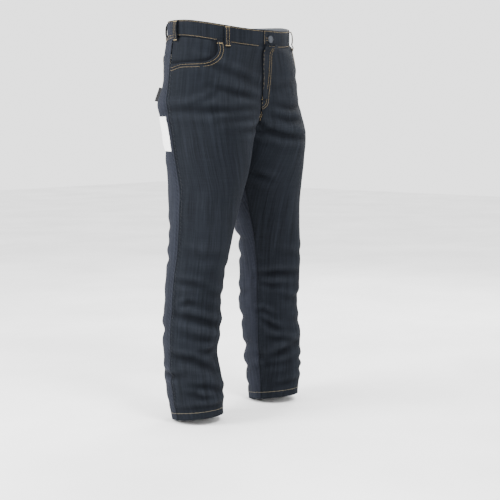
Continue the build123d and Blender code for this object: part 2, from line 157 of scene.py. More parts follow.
def bump(tree, shader, height, distance, strength=0.6, after=None):
    """Adds a bump to the shader, on top of an earlier one."""
    node = add_node(tree, "ShaderNodeBump", strength=strength)
    node.inputs["Distance"].default_value = distance
    tree.links.new(height, node.inputs["Height"])
    if after:
        tree.links.new(after, node.inputs["Normal"])
    tree.links.new(node.outputs[0], shader.inputs["Normal"])
    return node.outputs[0]


def denim(name, dark, light, sheen=0.35, tint=(0.55, 0.58, 0.75)):
    """Twill with long slub yarns down the cloth and faint ones across. A mesh attribute adds painted shade in
    fold valleys and beside edges, and a painted highlight on fold ridges.
    """
    material, tree, shader = node_tree(name)
    cloth = add_node(tree, "ShaderNodeAttribute", attribute_name="cloth").outputs["Vector"]
    painted_shade = add_node(tree, "ShaderNodeAttribute", attribute_name="painted_shade").outputs["Fac"]
    warp = stretched_noise(tree, cloth, (520, 14, 1), 2.0)
    broad = stretched_noise(tree, cloth, (150, 5, 1), 2.0, 7.0)
    weft = stretched_noise(tree, cloth, (18, 420, 1), 2.0, 3.0)
    patch = stretched_noise(tree, cloth, (9, 6, 1), 3.0, 11.0)
    streak = mix(tree, "MIX", 0.5, ramp(tree, warp, [(0.3, (0, 0, 0)), (0.7, (1, 1, 1))]),
                 ramp(tree, broad, [(0.3, (0, 0, 0)), (0.72, (1, 1, 1))]))
    streak = mix(tree, "MIX", 0.13, streak, ramp(tree, weft, [(0.35, (0, 0, 0)), (0.65, (1, 1, 1))]))
    colour = mix(tree, "MIX", streak, dark, light)
    patches = ramp(tree, patch, [(0.3, (0.72, 0.74, 0.78)), (0.7, (1.15, 1.12, 1.1))])
    worn = mix(tree, "MULTIPLY", 0.5, colour, patches)
    # Painted shade and highlight: the mesh's painted-shade values darken fold valleys, edges and seams and
    # lighten fold ridges.
    painted_shade_colour = ramp(tree, painted_shade, [(0.05, (0.42, 0.43, 0.46)), (0.5, (1, 1, 1)), (0.85, (1.55, 1.5, 1.45))])
    shaded = mix(tree, "MULTIPLY", 0.9, worn, painted_shade_colour)
    tree.links.new(shaded, shader.inputs["Base Color"])
    shader.inputs["Roughness"].default_value = 0.82
    shader.inputs["Specular IOR Level"].default_value = 0.05
    shader.inputs["Sheen Weight"].default_value = sheen
    shader.inputs["Sheen Roughness"].default_value = 0.45
    shader.inputs["Sheen Tint"].default_value = (*tint, 1)
    turned = add_node(tree, "ShaderNodeMapping")
    turned.inputs["Rotation"].default_value = (0, 0, math.radians(62))
    tree.links.new(cloth, turned.inputs[0])
    twill = add_node(tree, "ShaderNodeTexWave", scale=420.0, distortion=0.6)
    tree.links.new(turned.outputs[0], twill.inputs["Vector"])
    first = bump(tree, shader, twill.outputs[1], 0.00018, 0.5)
    bump(tree, shader, warp, 0.0005, 0.5, first)
    return material


def plain(name, colour, roughness=0.6, metallic=0.0, grain=(900, 900, 900), depth=0.0002, sheen=0.0):
    """A simple material with fine procedural grain in its colour and surface."""
    material, tree, shader = node_tree(name)
    where = add_node(tree, "ShaderNodeTexCoord").outputs["Object"]
    grains = stretched_noise(tree, where, grain, 3.0)
    dark = tuple(c * 0.75 for c in colour)
    light = tuple(min(1, c * 1.2) for c in colour)
    tree.links.new(mix(tree, "MIX", grains, dark, light), shader.inputs["Base Color"])
    shader.inputs["Roughness"].default_value = roughness
    shader.inputs["Metallic"].default_value = metallic
    shader.inputs["Sheen Weight"].default_value = sheen
    bump(tree, shader, grains, depth, 0.5)
    return material


FRONT = denim("denim_front", (0.0026, 0.0033, 0.0045), (0.0102, 0.0123, 0.0166), 0.012)
# The back denim is this cloth with lighter yarn colours: painted rim light on the back panels, yoke, back
# pockets and rear waistband.
DENIM_PAINTED_RIM_LIGHT = denim("denim_back", (0.0046, 0.0055, 0.0080), (0.0180, 0.0205, 0.0290), 0.02)
THREAD = plain("thread_ochre", (0.235, 0.170, 0.075), 0.55, grain=(2500, 2500, 2500))
PALE_THREAD = plain("thread_pale", (0.27, 0.23, 0.15), 0.6, grain=(2500, 2500, 2500))
DARK_THREAD = plain("thread_dark", (0.015, 0.017, 0.02), 0.7, grain=(2500, 2500, 2500))
WHITE = plain("label_white", (0.88, 0.88, 0.87), 0.7, grain=(1500, 1500, 1500), sheen=0.2)
BLACK = plain("tape_black", (0.008, 0.008, 0.010), 0.75, grain=(1800, 1800, 600))
LINING = plain("lining_mesh", (0.018, 0.02, 0.024), 0.75, grain=(1400, 1400, 1400), sheen=0.3)
PAD = plain("pad_fibre", (0.72, 0.70, 0.60), 0.9, grain=(600, 600, 200), depth=0.0008, sheen=0.4)
POCKETING = plain("pocketing", (0.04, 0.043, 0.05), 0.8, grain=(1500, 1500, 1500))
TAPE = plain("zip_tape", (0.02, 0.023, 0.03), 0.8, grain=(2000, 2000, 2000))
BRASS = plain("zip_brass", (0.36, 0.26, 0.12), 0.38, 1.0, (300, 300, 300), 0.0001)
GUNMETAL = plain("button_metal", (0.055, 0.06, 0.07), 0.36, 0.85, (400, 400, 400), 0.0001)
FOR_SLOT = {"denim_front": FRONT, "denim_back": DENIM_PAINTED_RIM_LIGHT, "denim_band": FRONT, "black_tape": BLACK,
            "label": WHITE, "pad_fibre": PAD, "lining": LINING, "pocketing": POCKETING,
            "zip_metal": BRASS, "zip_tape": TAPE, "button_metal": GUNMETAL}


def set_material(piece, material):
    """Gives a piece one material."""
    piece.data.materials.clear()
    piece.data.materials.append(material)


for part in frame["record"]["subparts"]:
    set_material(frame["nodes"][part["node"]], FOR_SLOT[part["material_slot"]])


# -------------------------------------------------- the cloth's surface, from CAD
# Everything is worked out on the wearer's right half and mirrored for the left. Columns run
# round the half from the back centre or inseam, by the outseam, to the front one.
CLOTH_DEPTH = {"waistband_outer": -1.0, "pocket_backings": 1.6, "right_front_panel": 0,
               "right_back_yoke": 0, "right_back_panel": 0, "right_hip_cloth": 0,
               "right_thigh_front": 0, "right_thigh_back": 0, "right_knee_cloth": 0,
               "right_shin_front": 0, "right_calf_back": 0, "right_hem": -0.6}
END_STEPS = np.array([0, 1.5, 3, 4.5, 6.5, 9, 12, 16, 20]) * MM
MIDDLE_COLUMNS = 56
ROW_STEP = 3 * MM
CROTCH = -0.288
TOP = -0.030
SPLIT = -0.445
LEVELS = np.array([-50, -70, -90, -110, -130, -150, -170, -190, -210, -228, -238, -248, -256,
                   -264, -270, -276, -281, -286, -291, -297, -305, -318, -335, -355]
                  + list(range(-375, -965, -20))) * MM
TOE_LEVELS, TOES = (0.29, 0.37, 0.46, 0.55, 0.64), (0, 3, 6, 8, 9)
OUTSEAM_SHIFT, SHIFT_TOP, SHIFT_END = 14, -0.300, -0.430
POCKET_EDGE = 140


def right_cloth():
    """A search tree over the right half's cloth, with how deep each face lies."""
    vertices, faces, depths = [], [], []
    for name, depth in CLOTH_DEPTH.items():
        mesh = frame["nodes"][name].data
        start = len(vertices)
        vertices += [v.co.copy() for v in mesh.vertices]
        for polygon in mesh.polygons:
            if polygon.center.x < 0.0005:
                faces.append([start + i for i in polygon.vertices])
                depths.append(depth * MM)
    points = np.array(vertices)
    return BVHTree.FromPolygons(vertices, faces), depths, points[points[:, 0] < 0.0005]


CLOTH_TREE, FACE_DEPTH, CLOTH_POINTS = right_cloth()


def section(level):
    """The cloth's outline at a level: front and back halves, each from the outseam inwards."""
    near = CLOTH_POINTS[np.abs(CLOTH_POINTS[:, 2] - level) < 0.012]
    centre = (near.min(0) + near.max(0)) / 2
    reach, girth = (near.max(0) - near.min(0))[:2] / 2
    toe = math.radians(np.interp(-level, TOE_LEVELS, TOES))
    part = min(max((level - SHIFT_END) / (SHIFT_TOP - SHIFT_END), 0), 1)
    shift = OUTSEAM_SHIFT * part * part * (3 - 2 * part)

    def hit(turn, way):
        turn += -way * shift * max(math.cos(math.radians(turn)), 0) ** 2
        along = reach * math.cos(math.radians(turn))
        across = -way * girth * math.sin(math.radians(turn))
        away = Vector((-(along * math.cos(toe) - across * math.sin(toe)),
                       across * math.cos(toe) + along * math.sin(toe), 0)).normalized()
        start = Vector((centre[0], centre[1], level)) + away * 0.45
        point, _, index, _ = CLOTH_TREE.ray_cast(start, -away, 0.45)
        return None if point is None else np.array(point + away * FACE_DEPTH[index])[:2]

    halves = []
    for way in (1, -1):
        line, turns = [], []
        for turn in np.append(np.arange(0.6, 179, 1.5), 179.4):
            point = hit(turn, way)
            if point is None:
                if level > CROTCH and turn > 60:
                    break
                continue
            line.append(point)
            turns.append(turn)
        if level > CROTCH:
            inside, outside = turns[-1], turns[-1] + 1.5
            for _ in range(9):
                middle = (inside + outside) / 2
                if hit(middle, way) is None:
                    outside = middle
                else:
                    inside = middle
            if hit(inside, way)[0] > line[-1][0]:
                line.append(hit(inside, way))
                turns.append(inside)
            last, before = line[-1], line[-6]
            slope = (last[1] - before[1]) / (last[0] - before[0])
            if last[0] < -0.0006:
                line.append(np.array([0, last[1] - slope * last[0] * 0.7]))
                turns.append(turns[-1] + 2)
            else:
                line[-1] = np.array([0, last[1]])
        halves.append((np.array(line), np.array(turns)))
    (front, front_turns), (back, back_turns) = halves
    front[0] = back[0] = (front[0] + back[0]) / 2
    if level < CROTCH:
        front[-1] = back[-1] = (front[-1] + back[-1]) / 2
    return spread(front, front_turns), spread(back, back_turns)


def spread(line, turns):
    """Points and turns along a line: close steps at both ends and even ones between."""
    lengths = np.concatenate([[0], np.cumsum(np.hypot(*np.diff(line, axis=0).T))])
    total = lengths[-1]
    middle = np.linspace(END_STEPS[-1], total - END_STEPS[-1], MIDDLE_COLUMNS)
    at = np.concatenate([END_STEPS[:-1], middle, total - END_STEPS[::-1][1:]])
    return np.stack([np.interp(at, lengths, line[:, 0]), np.interp(at, lengths, line[:, 1]),
                     np.interp(at, lengths, turns)], 1)


def between_levels(values, wanted):
    """Smooth interpolation of rows of values, one for each level, at wanted levels."""
    levels = -LEVELS
    slopes = np.gradient(values, levels, axis=0)
    index = np.clip(np.searchsorted(levels, -wanted) - 1, 0, len(levels) - 2)
    span = levels[index + 1] - levels[index]
    t = (-wanted - levels[index]) / span
    column = np.arange(values.shape[1])[None, :] * np.ones_like(index)
    a, b = values[index, column], values[index + 1, column]
    sa, sb = slopes[index, column] * span, slopes[index + 1, column] * span
    inside = ((2 * t**3 - 3 * t**2 + 1) * a + (t**3 - 2 * t**2 + t) * sa
              + (3 * t**2 - 2 * t**3) * b + (t**3 - t**2) * sb)
    return np.where(t < 0, a + sa * t, np.where(t > 1, b + sb * (t - 1), inside))


def edge_by_y(name, upper):
    """A CAD node's upper or lower edge as a function of y."""
    points = np.array([v.co for v in frame["nodes"][name].data.vertices])
    bins = np.linspace(points[:, 1].min() - 1e-4, points[:, 1].max() + 1e-4, 24)
    ys, zs = [], []
    for low, high in zip(bins[:-1], bins[1:]):
        part = points[(points[:, 1] >= low) & (points[:, 1] < high)]
        if len(part):
            ys.append(part[:, 1].mean())
            zs.append(part[:, 2].max() if upper else part[:, 2].min())
    return lambda y: np.interp(y, ys, zs)


band_top = edge_by_y("waistband_outer", True)
band_bottom = edge_by_y("waistband_outer", False)
hem_edge = edge_by_y("right_hem", False)


def smoothstep(t):
    """0 before 0, 1 after 1 and smooth between."""
    t = np.clip(t, 0, 1)
    return t * t * (3 - 2 * t)


def base_grid():
    """The smooth right half: points, turns in degrees (front positive) and distance across."""
    rows = []
    for level in LEVELS:
        front, back = section(level)
        back[:, 2] *= -1
        rows.append(np.vstack([back[::-1], front[1:]]))
    rows = np.array(rows)
    count = rows.shape[1]
    foot_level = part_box("right_hem")[0].z
    flat = np.repeat(np.arange(TOP, foot_level - 1e-6, -ROW_STEP)[:, None], count, 1)
    flat[-1] = foot_level
    top = band_bottom(rows[0, :, 1]) + 0.008
    foot = hem_edge(rows[-1, :, 1])
    level = (flat + (top - TOP) * np.clip((flat + 0.17) / (TOP + 0.17), 0, 1)
             + (foot - foot_level) * np.clip((flat + 0.87) / (foot_level + 0.87), 0, 1))
    x = between_levels(rows[..., 0], level)
    y = between_levels(rows[..., 1], level)
    turn = between_levels(rows[..., 2], np.clip(level, LEVELS[-1], LEVELS[0]))
    points = np.stack([np.minimum(x, 0), y, level], -1)
    steps = np.linalg.norm(np.diff(points, axis=1), axis=2)
    across = np.concatenate([np.zeros((len(flat), 1)), np.cumsum(steps, 1)], 1)
    across -= across[:, count // 2:count // 2 + 1]
    return points, turn, across


def normals_of(points):
    """Outward unit normals of the right half's grid."""
    down = np.gradient(points, axis=0)
    along = np.gradient(points, axis=1)
    normal = np.cross(down, along)
    closed = points[:, :1, 2] < CROTCH
    ends = np.where(closed, normal[:, 0] + normal[:, -1], 0)
    normal[:, 0] = np.where(closed, ends, normal[:, 0])
    normal[:, -1] = np.where(closed, ends, normal[:, -1])
    return normal / np.maximum(np.linalg.norm(normal, axis=2, keepdims=True), 1e-12)


BASE, TURN, ACROSS = base_grid()
NORMAL = normals_of(BASE)
ROWS, COLUMNS = TURN.shape
MID = COLUMNS // 2
if NORMAL[150, MID, 0] > 0:
    NORMAL = -NORMAL
FROM_END = np.minimum(ACROSS - ACROSS[:, :1], ACROSS[:, -1:] - ACROSS)
FROM_CENTRE = np.where(BASE[..., 2] > CROTCH, FROM_END, 1.0)
LEVEL = BASE[..., 2]


# ------------------------------------------------------------- folds and wrinkles
def lattice_noise(points, size, seed):
    """Smooth noise from -1 to 1 at points, with features of a size, vectorised."""
    place = points / size + seed * 17.3
    cell = np.floor(place).astype(np.int64)
    t = place - cell
    t = t * t * (3 - 2 * t)
    total = np.zeros(points.shape[:-1])
    for corner in range(8):
        offset = np.array([corner & 1, corner >> 1 & 1, corner >> 2 & 1])
        key = cell + offset
        mixed = (key[..., 0] * 374761393 + key[..., 1] * 668265263 + key[..., 2] * 2147483647
                 + seed * 974711) & 0xffffffff
        mixed = ((mixed ^ (mixed >> 13)) * 1274126177) & 0xffffffff
        value = ((mixed ^ (mixed >> 16)) & 0xffff) / 32767.5 - 1
        weight = np.prod(np.where(offset == 1, t, 1 - t), axis=-1)
        total += weight * value
    return total


def place_on(face, where, level, by_x=False):
    """The base point nearest a turn (or a distance from the middle) and a level, in mm."""
    front = slice(MID, COLUMNS) if face == "front" else slice(0, MID + 1)
    if by_x:
        off = (np.abs(BASE[:, front, 0]) * 1000 - abs(where)) ** 2
    else:
        off = ((TURN[:, front] - where) * 1.4) ** 2
    off = off + (LEVEL[:, front] * 1000 - level) ** 2
    row, column = np.unravel_index(np.argmin(off), off.shape)
    return BASE[row, front][column]


def fold(line, width, depth, lift):
    """How far each grid point moves for one fold: a valley with ridges on both sides."""
    line = np.array(line)
    best = np.full(TURN.shape, 1e9)
    across = np.zeros(TURN.shape)
    part = np.zeros(TURN.shape)
    beyond = np.zeros(TURN.shape)
    lengths = np.linalg.norm(np.diff(line, axis=0), axis=1)
    total, start = lengths.sum(), 0.0
    for a, b, length in zip(line[:-1], line[1:], lengths):
        tangent = (b - a) / length
        rel = BASE - a
        along = rel @ tangent
        held = np.clip(along, 0, length)
        gap = rel - held[..., None] * tangent
        side = np.cross(NORMAL, tangent)
        side *= np.where(side[..., 2:] < 0, -1, 1)
        distance = np.linalg.norm(gap, axis=2)
        take = distance < best
        best = np.where(take, distance, best)
        across = np.where(take, np.sum(gap * side, -1), across)
        part = np.where(take, (start + held) / total, part)
        beyond = np.where(take, np.abs(along - held), beyond)
        start += length
    s = across / (width * MM)
    window = np.sin(np.pi * (0.1 + 0.8 * part)) ** 0.7
    window = window * np.exp(-(beyond / (1.3 * width * MM)) ** 2)
    shape = (-depth * np.exp(-s**2) + lift * np.exp(-((s - 1.7) / 1.1) ** 2)
             + 0.6 * lift * np.exp(-((s + 1.7) / 1.1) ** 2))
    return shape * window * MM * (best < 8 * width * MM)


def dent(point, wide, tall, depth):
    """A broad soft hollow (or swelling, for a negative depth) about a base point."""
    rel = (BASE - np.array(point)) * 1000
    flat = np.hypot(rel[..., 0], rel[..., 1])
    return -depth * MM * np.exp(-(flat / wide) ** 2 - (rel[..., 2] / tall) ** 2)


# Each fold: its (distance from the middle, level) points at the hip and seat or (turn, level)
# points on the legs and back, then its width, depth and lift. Levels and sizes are in millimetres.
HIP_FOLDS = {
    "right": [([(33, -166), (131, -136), (179, -106)], 10, 3.6, 2.6),
              ([(33, -202), (114, -187), (164, -172)], 9, 3.0, 2.4),
              ([(46, -223), (120, -230), (165, -229), (196, -226)], 11, 4.6, 3.6),
              ([(50, -246), (118, -249), (161, -253)], 9, 3.4, 2.8),
              ([(20, -262), (60, -272), (110, -276)], 9, 2.6, 2.2),
              ([(150, -180), (172, -205), (190, -213)], 8, 2.2, 2.0)],
    "left": [([(2, -258), (20, -276), (56, -287), (140, -296)], 10, 5.0, 4.0),
             ([(3, -272), (19, -288)], 7, 3.0, 2.0),
             ([(30, -175), (90, -165), (160, -140)], 11, 2.4, 2.2),
             ([(28, -214), (92, -222), (150, -214)], 10, 2.4, 2.2),
             ([(24, -238), (70, -250), (120, -252)], 9, 2.8, 2.4)],
}
LEG_FOLDS = {
    "right": [([(10, -634), (42, -637), (64, -643)], 9, 3.0, 2.6),
              ([(18, -694), (38, -682), (54, -685)], 8, 3.0, 2.6),
              ([(14, -712), (40, -718), (62, -722), (98, -735), (134, -751)], 11, 6.2, 4.6),
              ([(70, -799), (84, -799), (98, -796)], 8, 3.4, 2.8),
              ([(4, -811), (50, -820), (94, -844), (112, -850)], 10, 5.0, 3.8),
              ([(-40, -856), (0, -862), (28, -859)], 9, 4.0, 3.2),
              ([(44, -883), (74, -883), (138, -907)], 9, 4.4, 3.4),
              ([(30, -902), (50, -900), (66, -910), (88, -907)], 8, 3.4, 2.8),
              ([(10, -944), (56, -936), (110, -932)], 8, 3.2, 2.8),
              ([(20, -560), (60, -572), (90, -570)], 12, 2.0, 2.0),
              ([(70, -655), (110, -668), (140, -668)], 10, 2.4, 2.2),
              ([(120, -600), (150, -612), (178, -604)], 10, 2.4, 2.0),
              ([(30, -760), (70, -768), (100, -775)], 10, 2.6, 2.4)],
    "left": [([(164, -385), (150, -392), (138, -400)], 10, 3.0, 2.2),
             ([(178, -649), (142, -640), (96, -640)], 10, 4.4, 3.4),
             ([(178, -664), (150, -672), (130, -668)], 8, 2.6, 2.2),
             ([(178, -741), (168, -739), (148, -754)], 8, 3.4, 2.6),
             ([(172, -760), (156, -775), (132, -788)], 9, 4.0, 3.0),
             ([(154, -811), (130, -811), (94, -820)], 9, 4.0, 3.2),
             ([(178, -855), (164, -865), (142, -853), (116, -835), (92, -826)], 11, 5.4, 4.2),
             ([(178, -883), (146, -876), (116, -871)], 9, 3.8, 3.0),
             ([(146, -931), (124, -928), (88, -919)], 9, 3.6, 3.0),
             ([(60, -585), (100, -592), (140, -584)], 12, 2.2, 2.0),
             ([(60, -700), (100, -708), (130, -702)], 10, 2.8, 2.4),
             ([(60, -770), (90, -762), (110, -758)], 10, 2.6, 2.2),
             ([(20, -860), (50, -868), (86, -872)], 9, 3.4, 3.0),
             ([(20, -905), (50, -898), (90, -892)], 9, 3.2, 2.8)],
}
SEAT_FOLDS = {
    "right": [([(20, -262), (60, -280), (130, -288)], 12, 4.4, 3.2),
              ([(30, -230), (90, -244), (150, -240)], 12, 2.6, 2.4),
              ([(16, -240), (30, -262), (60, -300)], 11, 3.4, 2.6)],
    "left": [([(16, -268), (70, -284), (140, -282)], 12, 4.4, 3.2),
             ([(24, -225), (80, -236), (160, -236)], 12, 2.4, 2.4),
             ([(14, -236), (26, -264), (52, -306)], 11, 3.2, 2.6)],
}
BACK_FOLDS = {
    "right": [([(-30, -320), (-80, -335), (-130, -330)], 12, 3.0, 2.6),
              ([(-40, -505), (-90, -515), (-140, -500)], 12, 4.6, 3.6),
              ([(-60, -540), (-110, -552), (-150, -560)], 11, 4.2, 3.4),
              ([(-30, -590), (-80, -580), (-130, -600)], 11, 3.6, 3.0),
              ([(-50, -680), (-100, -690), (-150, -676)], 12, 3.6, 3.0),
              ([(-20, -750), (-70, -764), (-120, -752)], 12, 4.4, 3.4),
              ([(-60, -820), (-110, -812), (-160, -830)], 11, 4.6, 3.6),
              ([(-50, -888), (-100, -902), (-150, -890)], 10, 4.0, 3.2),
              ([(-40, -936), (-90, -944), (-140, -936)], 8, 3.0, 2.6)],
    "left": [([(-30, -330), (-80, -342), (-120, -332)], 12, 3.0, 2.6),
             ([(-30, -508), (-80, -500), (-140, -516)], 12, 4.6, 3.6),
             ([(-50, -556), (-100, -545), (-150, -556)], 11, 4.2, 3.4),
             ([(-40, -602), (-90, -594), (-140, -604)], 11, 3.6, 3.0),
             ([(-40, -690), (-90, -700), (-150, -692)], 12, 3.6, 3.0),
             ([(-30, -770), (-80, -757), (-140, -768)], 12, 4.4, 3.4),
             ([(-50, -836), (-100, -846), (-150, -826)], 11, 4.6, 3.6),
             ([(-30, -892), (-90, -884), (-150, -898)], 10, 4.0, 3.2),
             ([(-40, -940), (-90, -934), (-140, -944)], 8, 3.0, 2.6)],
}
DENTS = {"right": [((112, -815), 46, 30, 13.0), ((104, -738), 44, 26, -5.0), ((112, -905), 44, 26, -5.0),
                   ((88, -560), 40, 60, -3.0), ((20, -775), 40, 34, -3.0), ((60, -500), 50, 90, -3.0),
                   ((50, -860), 40, 22, -3.0), ((-42, -150), 62, 46, 8.0), ((-30, -214), 40, 20, -3.0)],
         "left": [((-42, -150), 62, 46, 5.0), ((90, -600), 50, 80, -3.0), ((100, -905), 40, 22, -3.0),
                  ((140, -700), 30, 40, 3.0), ((86, -722), 40, 24, 6.0), ((86, -805), 40, 26, -5.0),
                  ((-110, -560), 46, 40, 5.0), ((-120, -700), 46, 40, -5.0), ((-120, -840), 46, 30, 5.0)]}


def relief(side):
    """The cloth's whole displacement along its normal, for one side."""
    move = np.zeros(TURN.shape)
    for points, width, depth, lift in HIP_FOLDS[side]:
        move += fold([place_on("front", x, z, True) for x, z in points], width, depth, lift)
    for points, width, depth, lift in SEAT_FOLDS[side]:
        move += fold([place_on("back", x, z, True) for x, z in points], width, depth, lift)
    for points, width, depth, lift in LEG_FOLDS[side]:
        front = [place_on("front" if t >= 0 else "back", t, z) for t, z in points]
        move += fold(front, width, depth, lift)
    for points, width, depth, lift in BACK_FOLDS[side]:
        move += fold([place_on("back", t, z) for t, z in points], width, depth, lift)
    for (turn, level), wide, tall, depth in DENTS[side]:
        face = "front" if turn >= 0 else "back"
        move += dent(place_on(face, turn, level), wide, tall, depth)
    seed = 3 if side == "right" else 8
    low = smoothstep((-0.55 - LEVEL) / 0.25)
    stretched = BASE * np.array([0.7, 0.7, 1.25])
    move += lattice_noise(stretched, 0.055, seed) * (0.8 + 1.2 * low) * MM
    move += lattice_noise(stretched, 0.024, seed + 1) * (0.35 + 0.45 * low) * MM
    move += lattice_noise(BASE, 0.009, seed + 2) * 0.18 * MM
    out = np.abs(ACROSS) / MM
    pucker = np.sin(LEVEL / 0.0105 * 2 * np.pi + np.sign(ACROSS) * out * 0.35
                    + 2.2 * lattice_noise(BASE, 0.03, seed + 3))
    below = smoothstep((-0.10 - LEVEL) / 0.05)
    move += below * np.exp(-(out / 3.2) ** 2) * 1.3 * MM
    move += below * np.exp(-((out - 8) / 7.0) ** 2) * pucker * 0.55 * MM
    ends = FROM_END / MM
    legs = LEVEL < CROTCH
    move += np.where(legs, np.exp(-(ends / 2.6) ** 2) * 0.9 * MM
                     + np.exp(-((ends - 7) / 6.0) ** 2) * pucker * 0.4 * MM, 0)
    centre = np.where(legs, 1.0, smoothstep(FROM_CENTRE / 0.012))
    near_band = smoothstep((band_bottom(BASE[..., 1]) - 0.006 - LEVEL) / 0.03)
    near_hem = 0.25 + 0.75 * smoothstep((LEVEL - hem_edge(BASE[..., 1]) - 0.012) / 0.03)
    under_band = smoothstep((LEVEL - band_bottom(BASE[..., 1]) + 0.0015) / 0.004)
    return move * centre * near_band * near_hem - under_band * 2.0 * MM


# ------------------------------------------------------------------------- meshes
def mesh_object(name, vertices, faces, material, normals=None, cloth=None, painted_shade=None):
    """A smooth-shaded mesh object with the cloth coordinates and the painted shade and highlight values that
    its material reads.
    """
    mesh = bpy.data.meshes.new(name)
    mesh.from_pydata([tuple(v) for v in vertices], [], [tuple(f) for f in faces])
    mesh.materials.append(material)
    mesh.update()
    mesh.polygons.foreach_set("use_smooth", [True] * len(mesh.polygons))
    if cloth is not None:
        attribute = mesh.attributes.new("cloth", "FLOAT_VECTOR", "POINT")
        attribute.data.foreach_set("vector", np.asarray(cloth, np.float32).ravel())
    if painted_shade is not None:
        attribute = mesh.attributes.new("painted_shade", "FLOAT", "POINT")
        attribute.data.foreach_set("value", np.asarray(painted_shade, np.float32).ravel())
    if normals is not None:
        mesh.normals_split_custom_set_from_vertices([tuple(n) for n in normals])
    piece = bpy.data.objects.new(name, mesh)
    bpy.context.scene.collection.objects.link(piece)
    return piece


def blurred(values, rows, columns):
    """A box blur of a grid."""
    padded = np.pad(values, ((rows, rows), (columns, columns)), "edge")
    total = np.zeros(values.shape)
    for i in range(2 * rows + 1):
        for j in range(2 * columns + 1):
            total += padded[i:i + values.shape[0], j:j + values.shape[1]]
    return total / ((2 * rows + 1) * (2 * columns + 1))


def edge_shade(side):
    """Painted shade beside overlapping edges: the fly, the pocket mouth and the seams."""
    x, z = np.abs(BASE[..., 0]) / MM, LEVEL / MM
    front = (np.arange(COLUMNS) >= MID)[None, :]
    shade = 0.45 * np.exp(-(ACROSS / MM / 2.6) ** 2) * (z < -60)
    shade = shade + 0.35 * np.exp(-(FROM_END / MM / 3.0) ** 2) * (LEVEL < CROTCH)
    shade = shade + 0.5 * np.exp(-(FROM_END / MM / 7.0) ** 2) * (z < -225) * (LEVEL > CROTCH - 0.03) * front
    if side == "right":
        free = np.interp(-z, (78, 110, 150, 214, 233), (21, 19, 17, 8, 4))
        shade = shade + 0.8 * np.exp(-((x - free - 1.5) / 3.6) ** 2) * front * (z > -236)
    inside = np.where((x < POCKET_EDGE + 40) & (z < -78), 40 - np.hypot(x - POCKET_EDGE - 40, z + 78),
                      np.minimum(x - POCKET_EDGE, z + 118))
    shade = shade + 0.8 * np.exp(-((inside - 3.5) / 4.0) ** 2) * front * (z > -124) * (inside > -1)
    return shade


class Half:
    """One side's finished cloth surface."""

    def __init__(self, side):
        self.side = side
        self.sign = -1 if side == "left" else 1
        self.move = relief(side)
        self.points = BASE + NORMAL * self.move[..., None]
        torso = LEVEL > CROTCH
        self.points[..., 0] = np.where(torso, np.minimum(self.points[..., 0], 0), self.points[..., 0])
        self.normals = normals_of(self.points)
        if self.normals[150, MID, 0] > 0:
            self.normals = -self.normals
        # Painted shade and highlight for the material: values under 0.5 darken fold valleys and the cloth
        # beside the edges and seams that edge_shade finds, values over 0.5 lighten fold ridges.
        painted_shade = 0.5 + (self.move - blurred(self.move, 5, 3)) / (6.5 * MM) - edge_shade(side)
        self.painted_shade = np.clip(painted_shade, 0, 1)

    def world(self, array):
        """Right-half positions or normals turned to this side."""
        array = np.array(array, float)
        array[..., 0] *= self.sign
        return array

    def grid_piece(self, name, keep, material, slot, depth=0.0):
        """A cloth piece from the kept cells of the grid, a depth under its surface."""
        cells = np.argwhere(keep)
        used = np.zeros(TURN.shape, bool)
        for i, j in ((0, 0), (1, 0), (0, 1), (1, 1)):
            used[cells[:, 0] + i, cells[:, 1] + j] = True
        index = np.full(TURN.shape, -1)
        index[used] = np.arange(used.sum())
        r, c = cells[:, 0], cells[:, 1]
        faces = np.stack([index[r, c], index[r + 1, c], index[r + 1, c + 1], index[r, c + 1]], 1)
        if self.sign == -1:
            faces = faces[:, ::-1]
        deep = depth if np.ndim(depth) else np.full(TURN.shape, depth)
        points = self.world((self.points - self.normals * deep[..., None])[used])
        normals = self.world(self.normals[used])
        cloth = np.stack([ACROSS + 0.7 * (self.sign < 0), LEVEL, LEVEL * 0], -1)[used]
        piece = mesh_object(name, points, faces, material, normals, cloth, self.painted_shade[used])
        test = piece.data.polygons[len(piece.data.polygons) // 2]
        if test.normal.dot(Vector(normals[test.vertices[0]])) < 0:
            raise RuntimeError("inside-out piece " + name)
        return piece

    def at(self, face, where, level, by_x=True, off=0.0):
        """A point and normal on the finished surface, by x (or turn) and level in mm."""
        front = np.arange(MID, COLUMNS) if face == "front" else np.arange(MID, -1, -1)
        column_level = LEVEL[:, front[len(front) // 2]]
        guess = np.searchsorted(-column_level, -level * MM)
        for _ in range(2):
            row = min(max(guess, 1), ROWS - 1)
            key = -np.abs(BASE[row, front, 0]) * 1000 if by_x else np.abs(TURN[row, front])
            wanted = -abs(where) if by_x else abs(where)
            if by_x:
                key = np.maximum.accumulate(key)
            place = np.interp(wanted, key, np.arange(len(front)))
            j = min(int(place), len(front) - 2)
            t = place - j
            levels = LEVEL[:, front[j]] * (1 - t) + LEVEL[:, front[j + 1]] * t
            guess = np.searchsorted(-levels, -level * MM)
        i = min(max(guess - 1, 0), ROWS - 2)
        u = np.clip((levels[i] - level * MM) / (levels[i] - levels[i + 1]), 0, 1)
        a, b = front[j], front[j + 1]

        def blend_of(grid):
            upper = grid[i, a] * (1 - t) + grid[i, b] * t
            lower = grid[i + 1, a] * (1 - t) + grid[i + 1, b] * t
            return upper * (1 - u) + lower * u

        normal = blend_of(self.normals)
        normal = normal / np.linalg.norm(normal)
        return self.world(blend_of(self.points) + normal * off), self.world(normal)


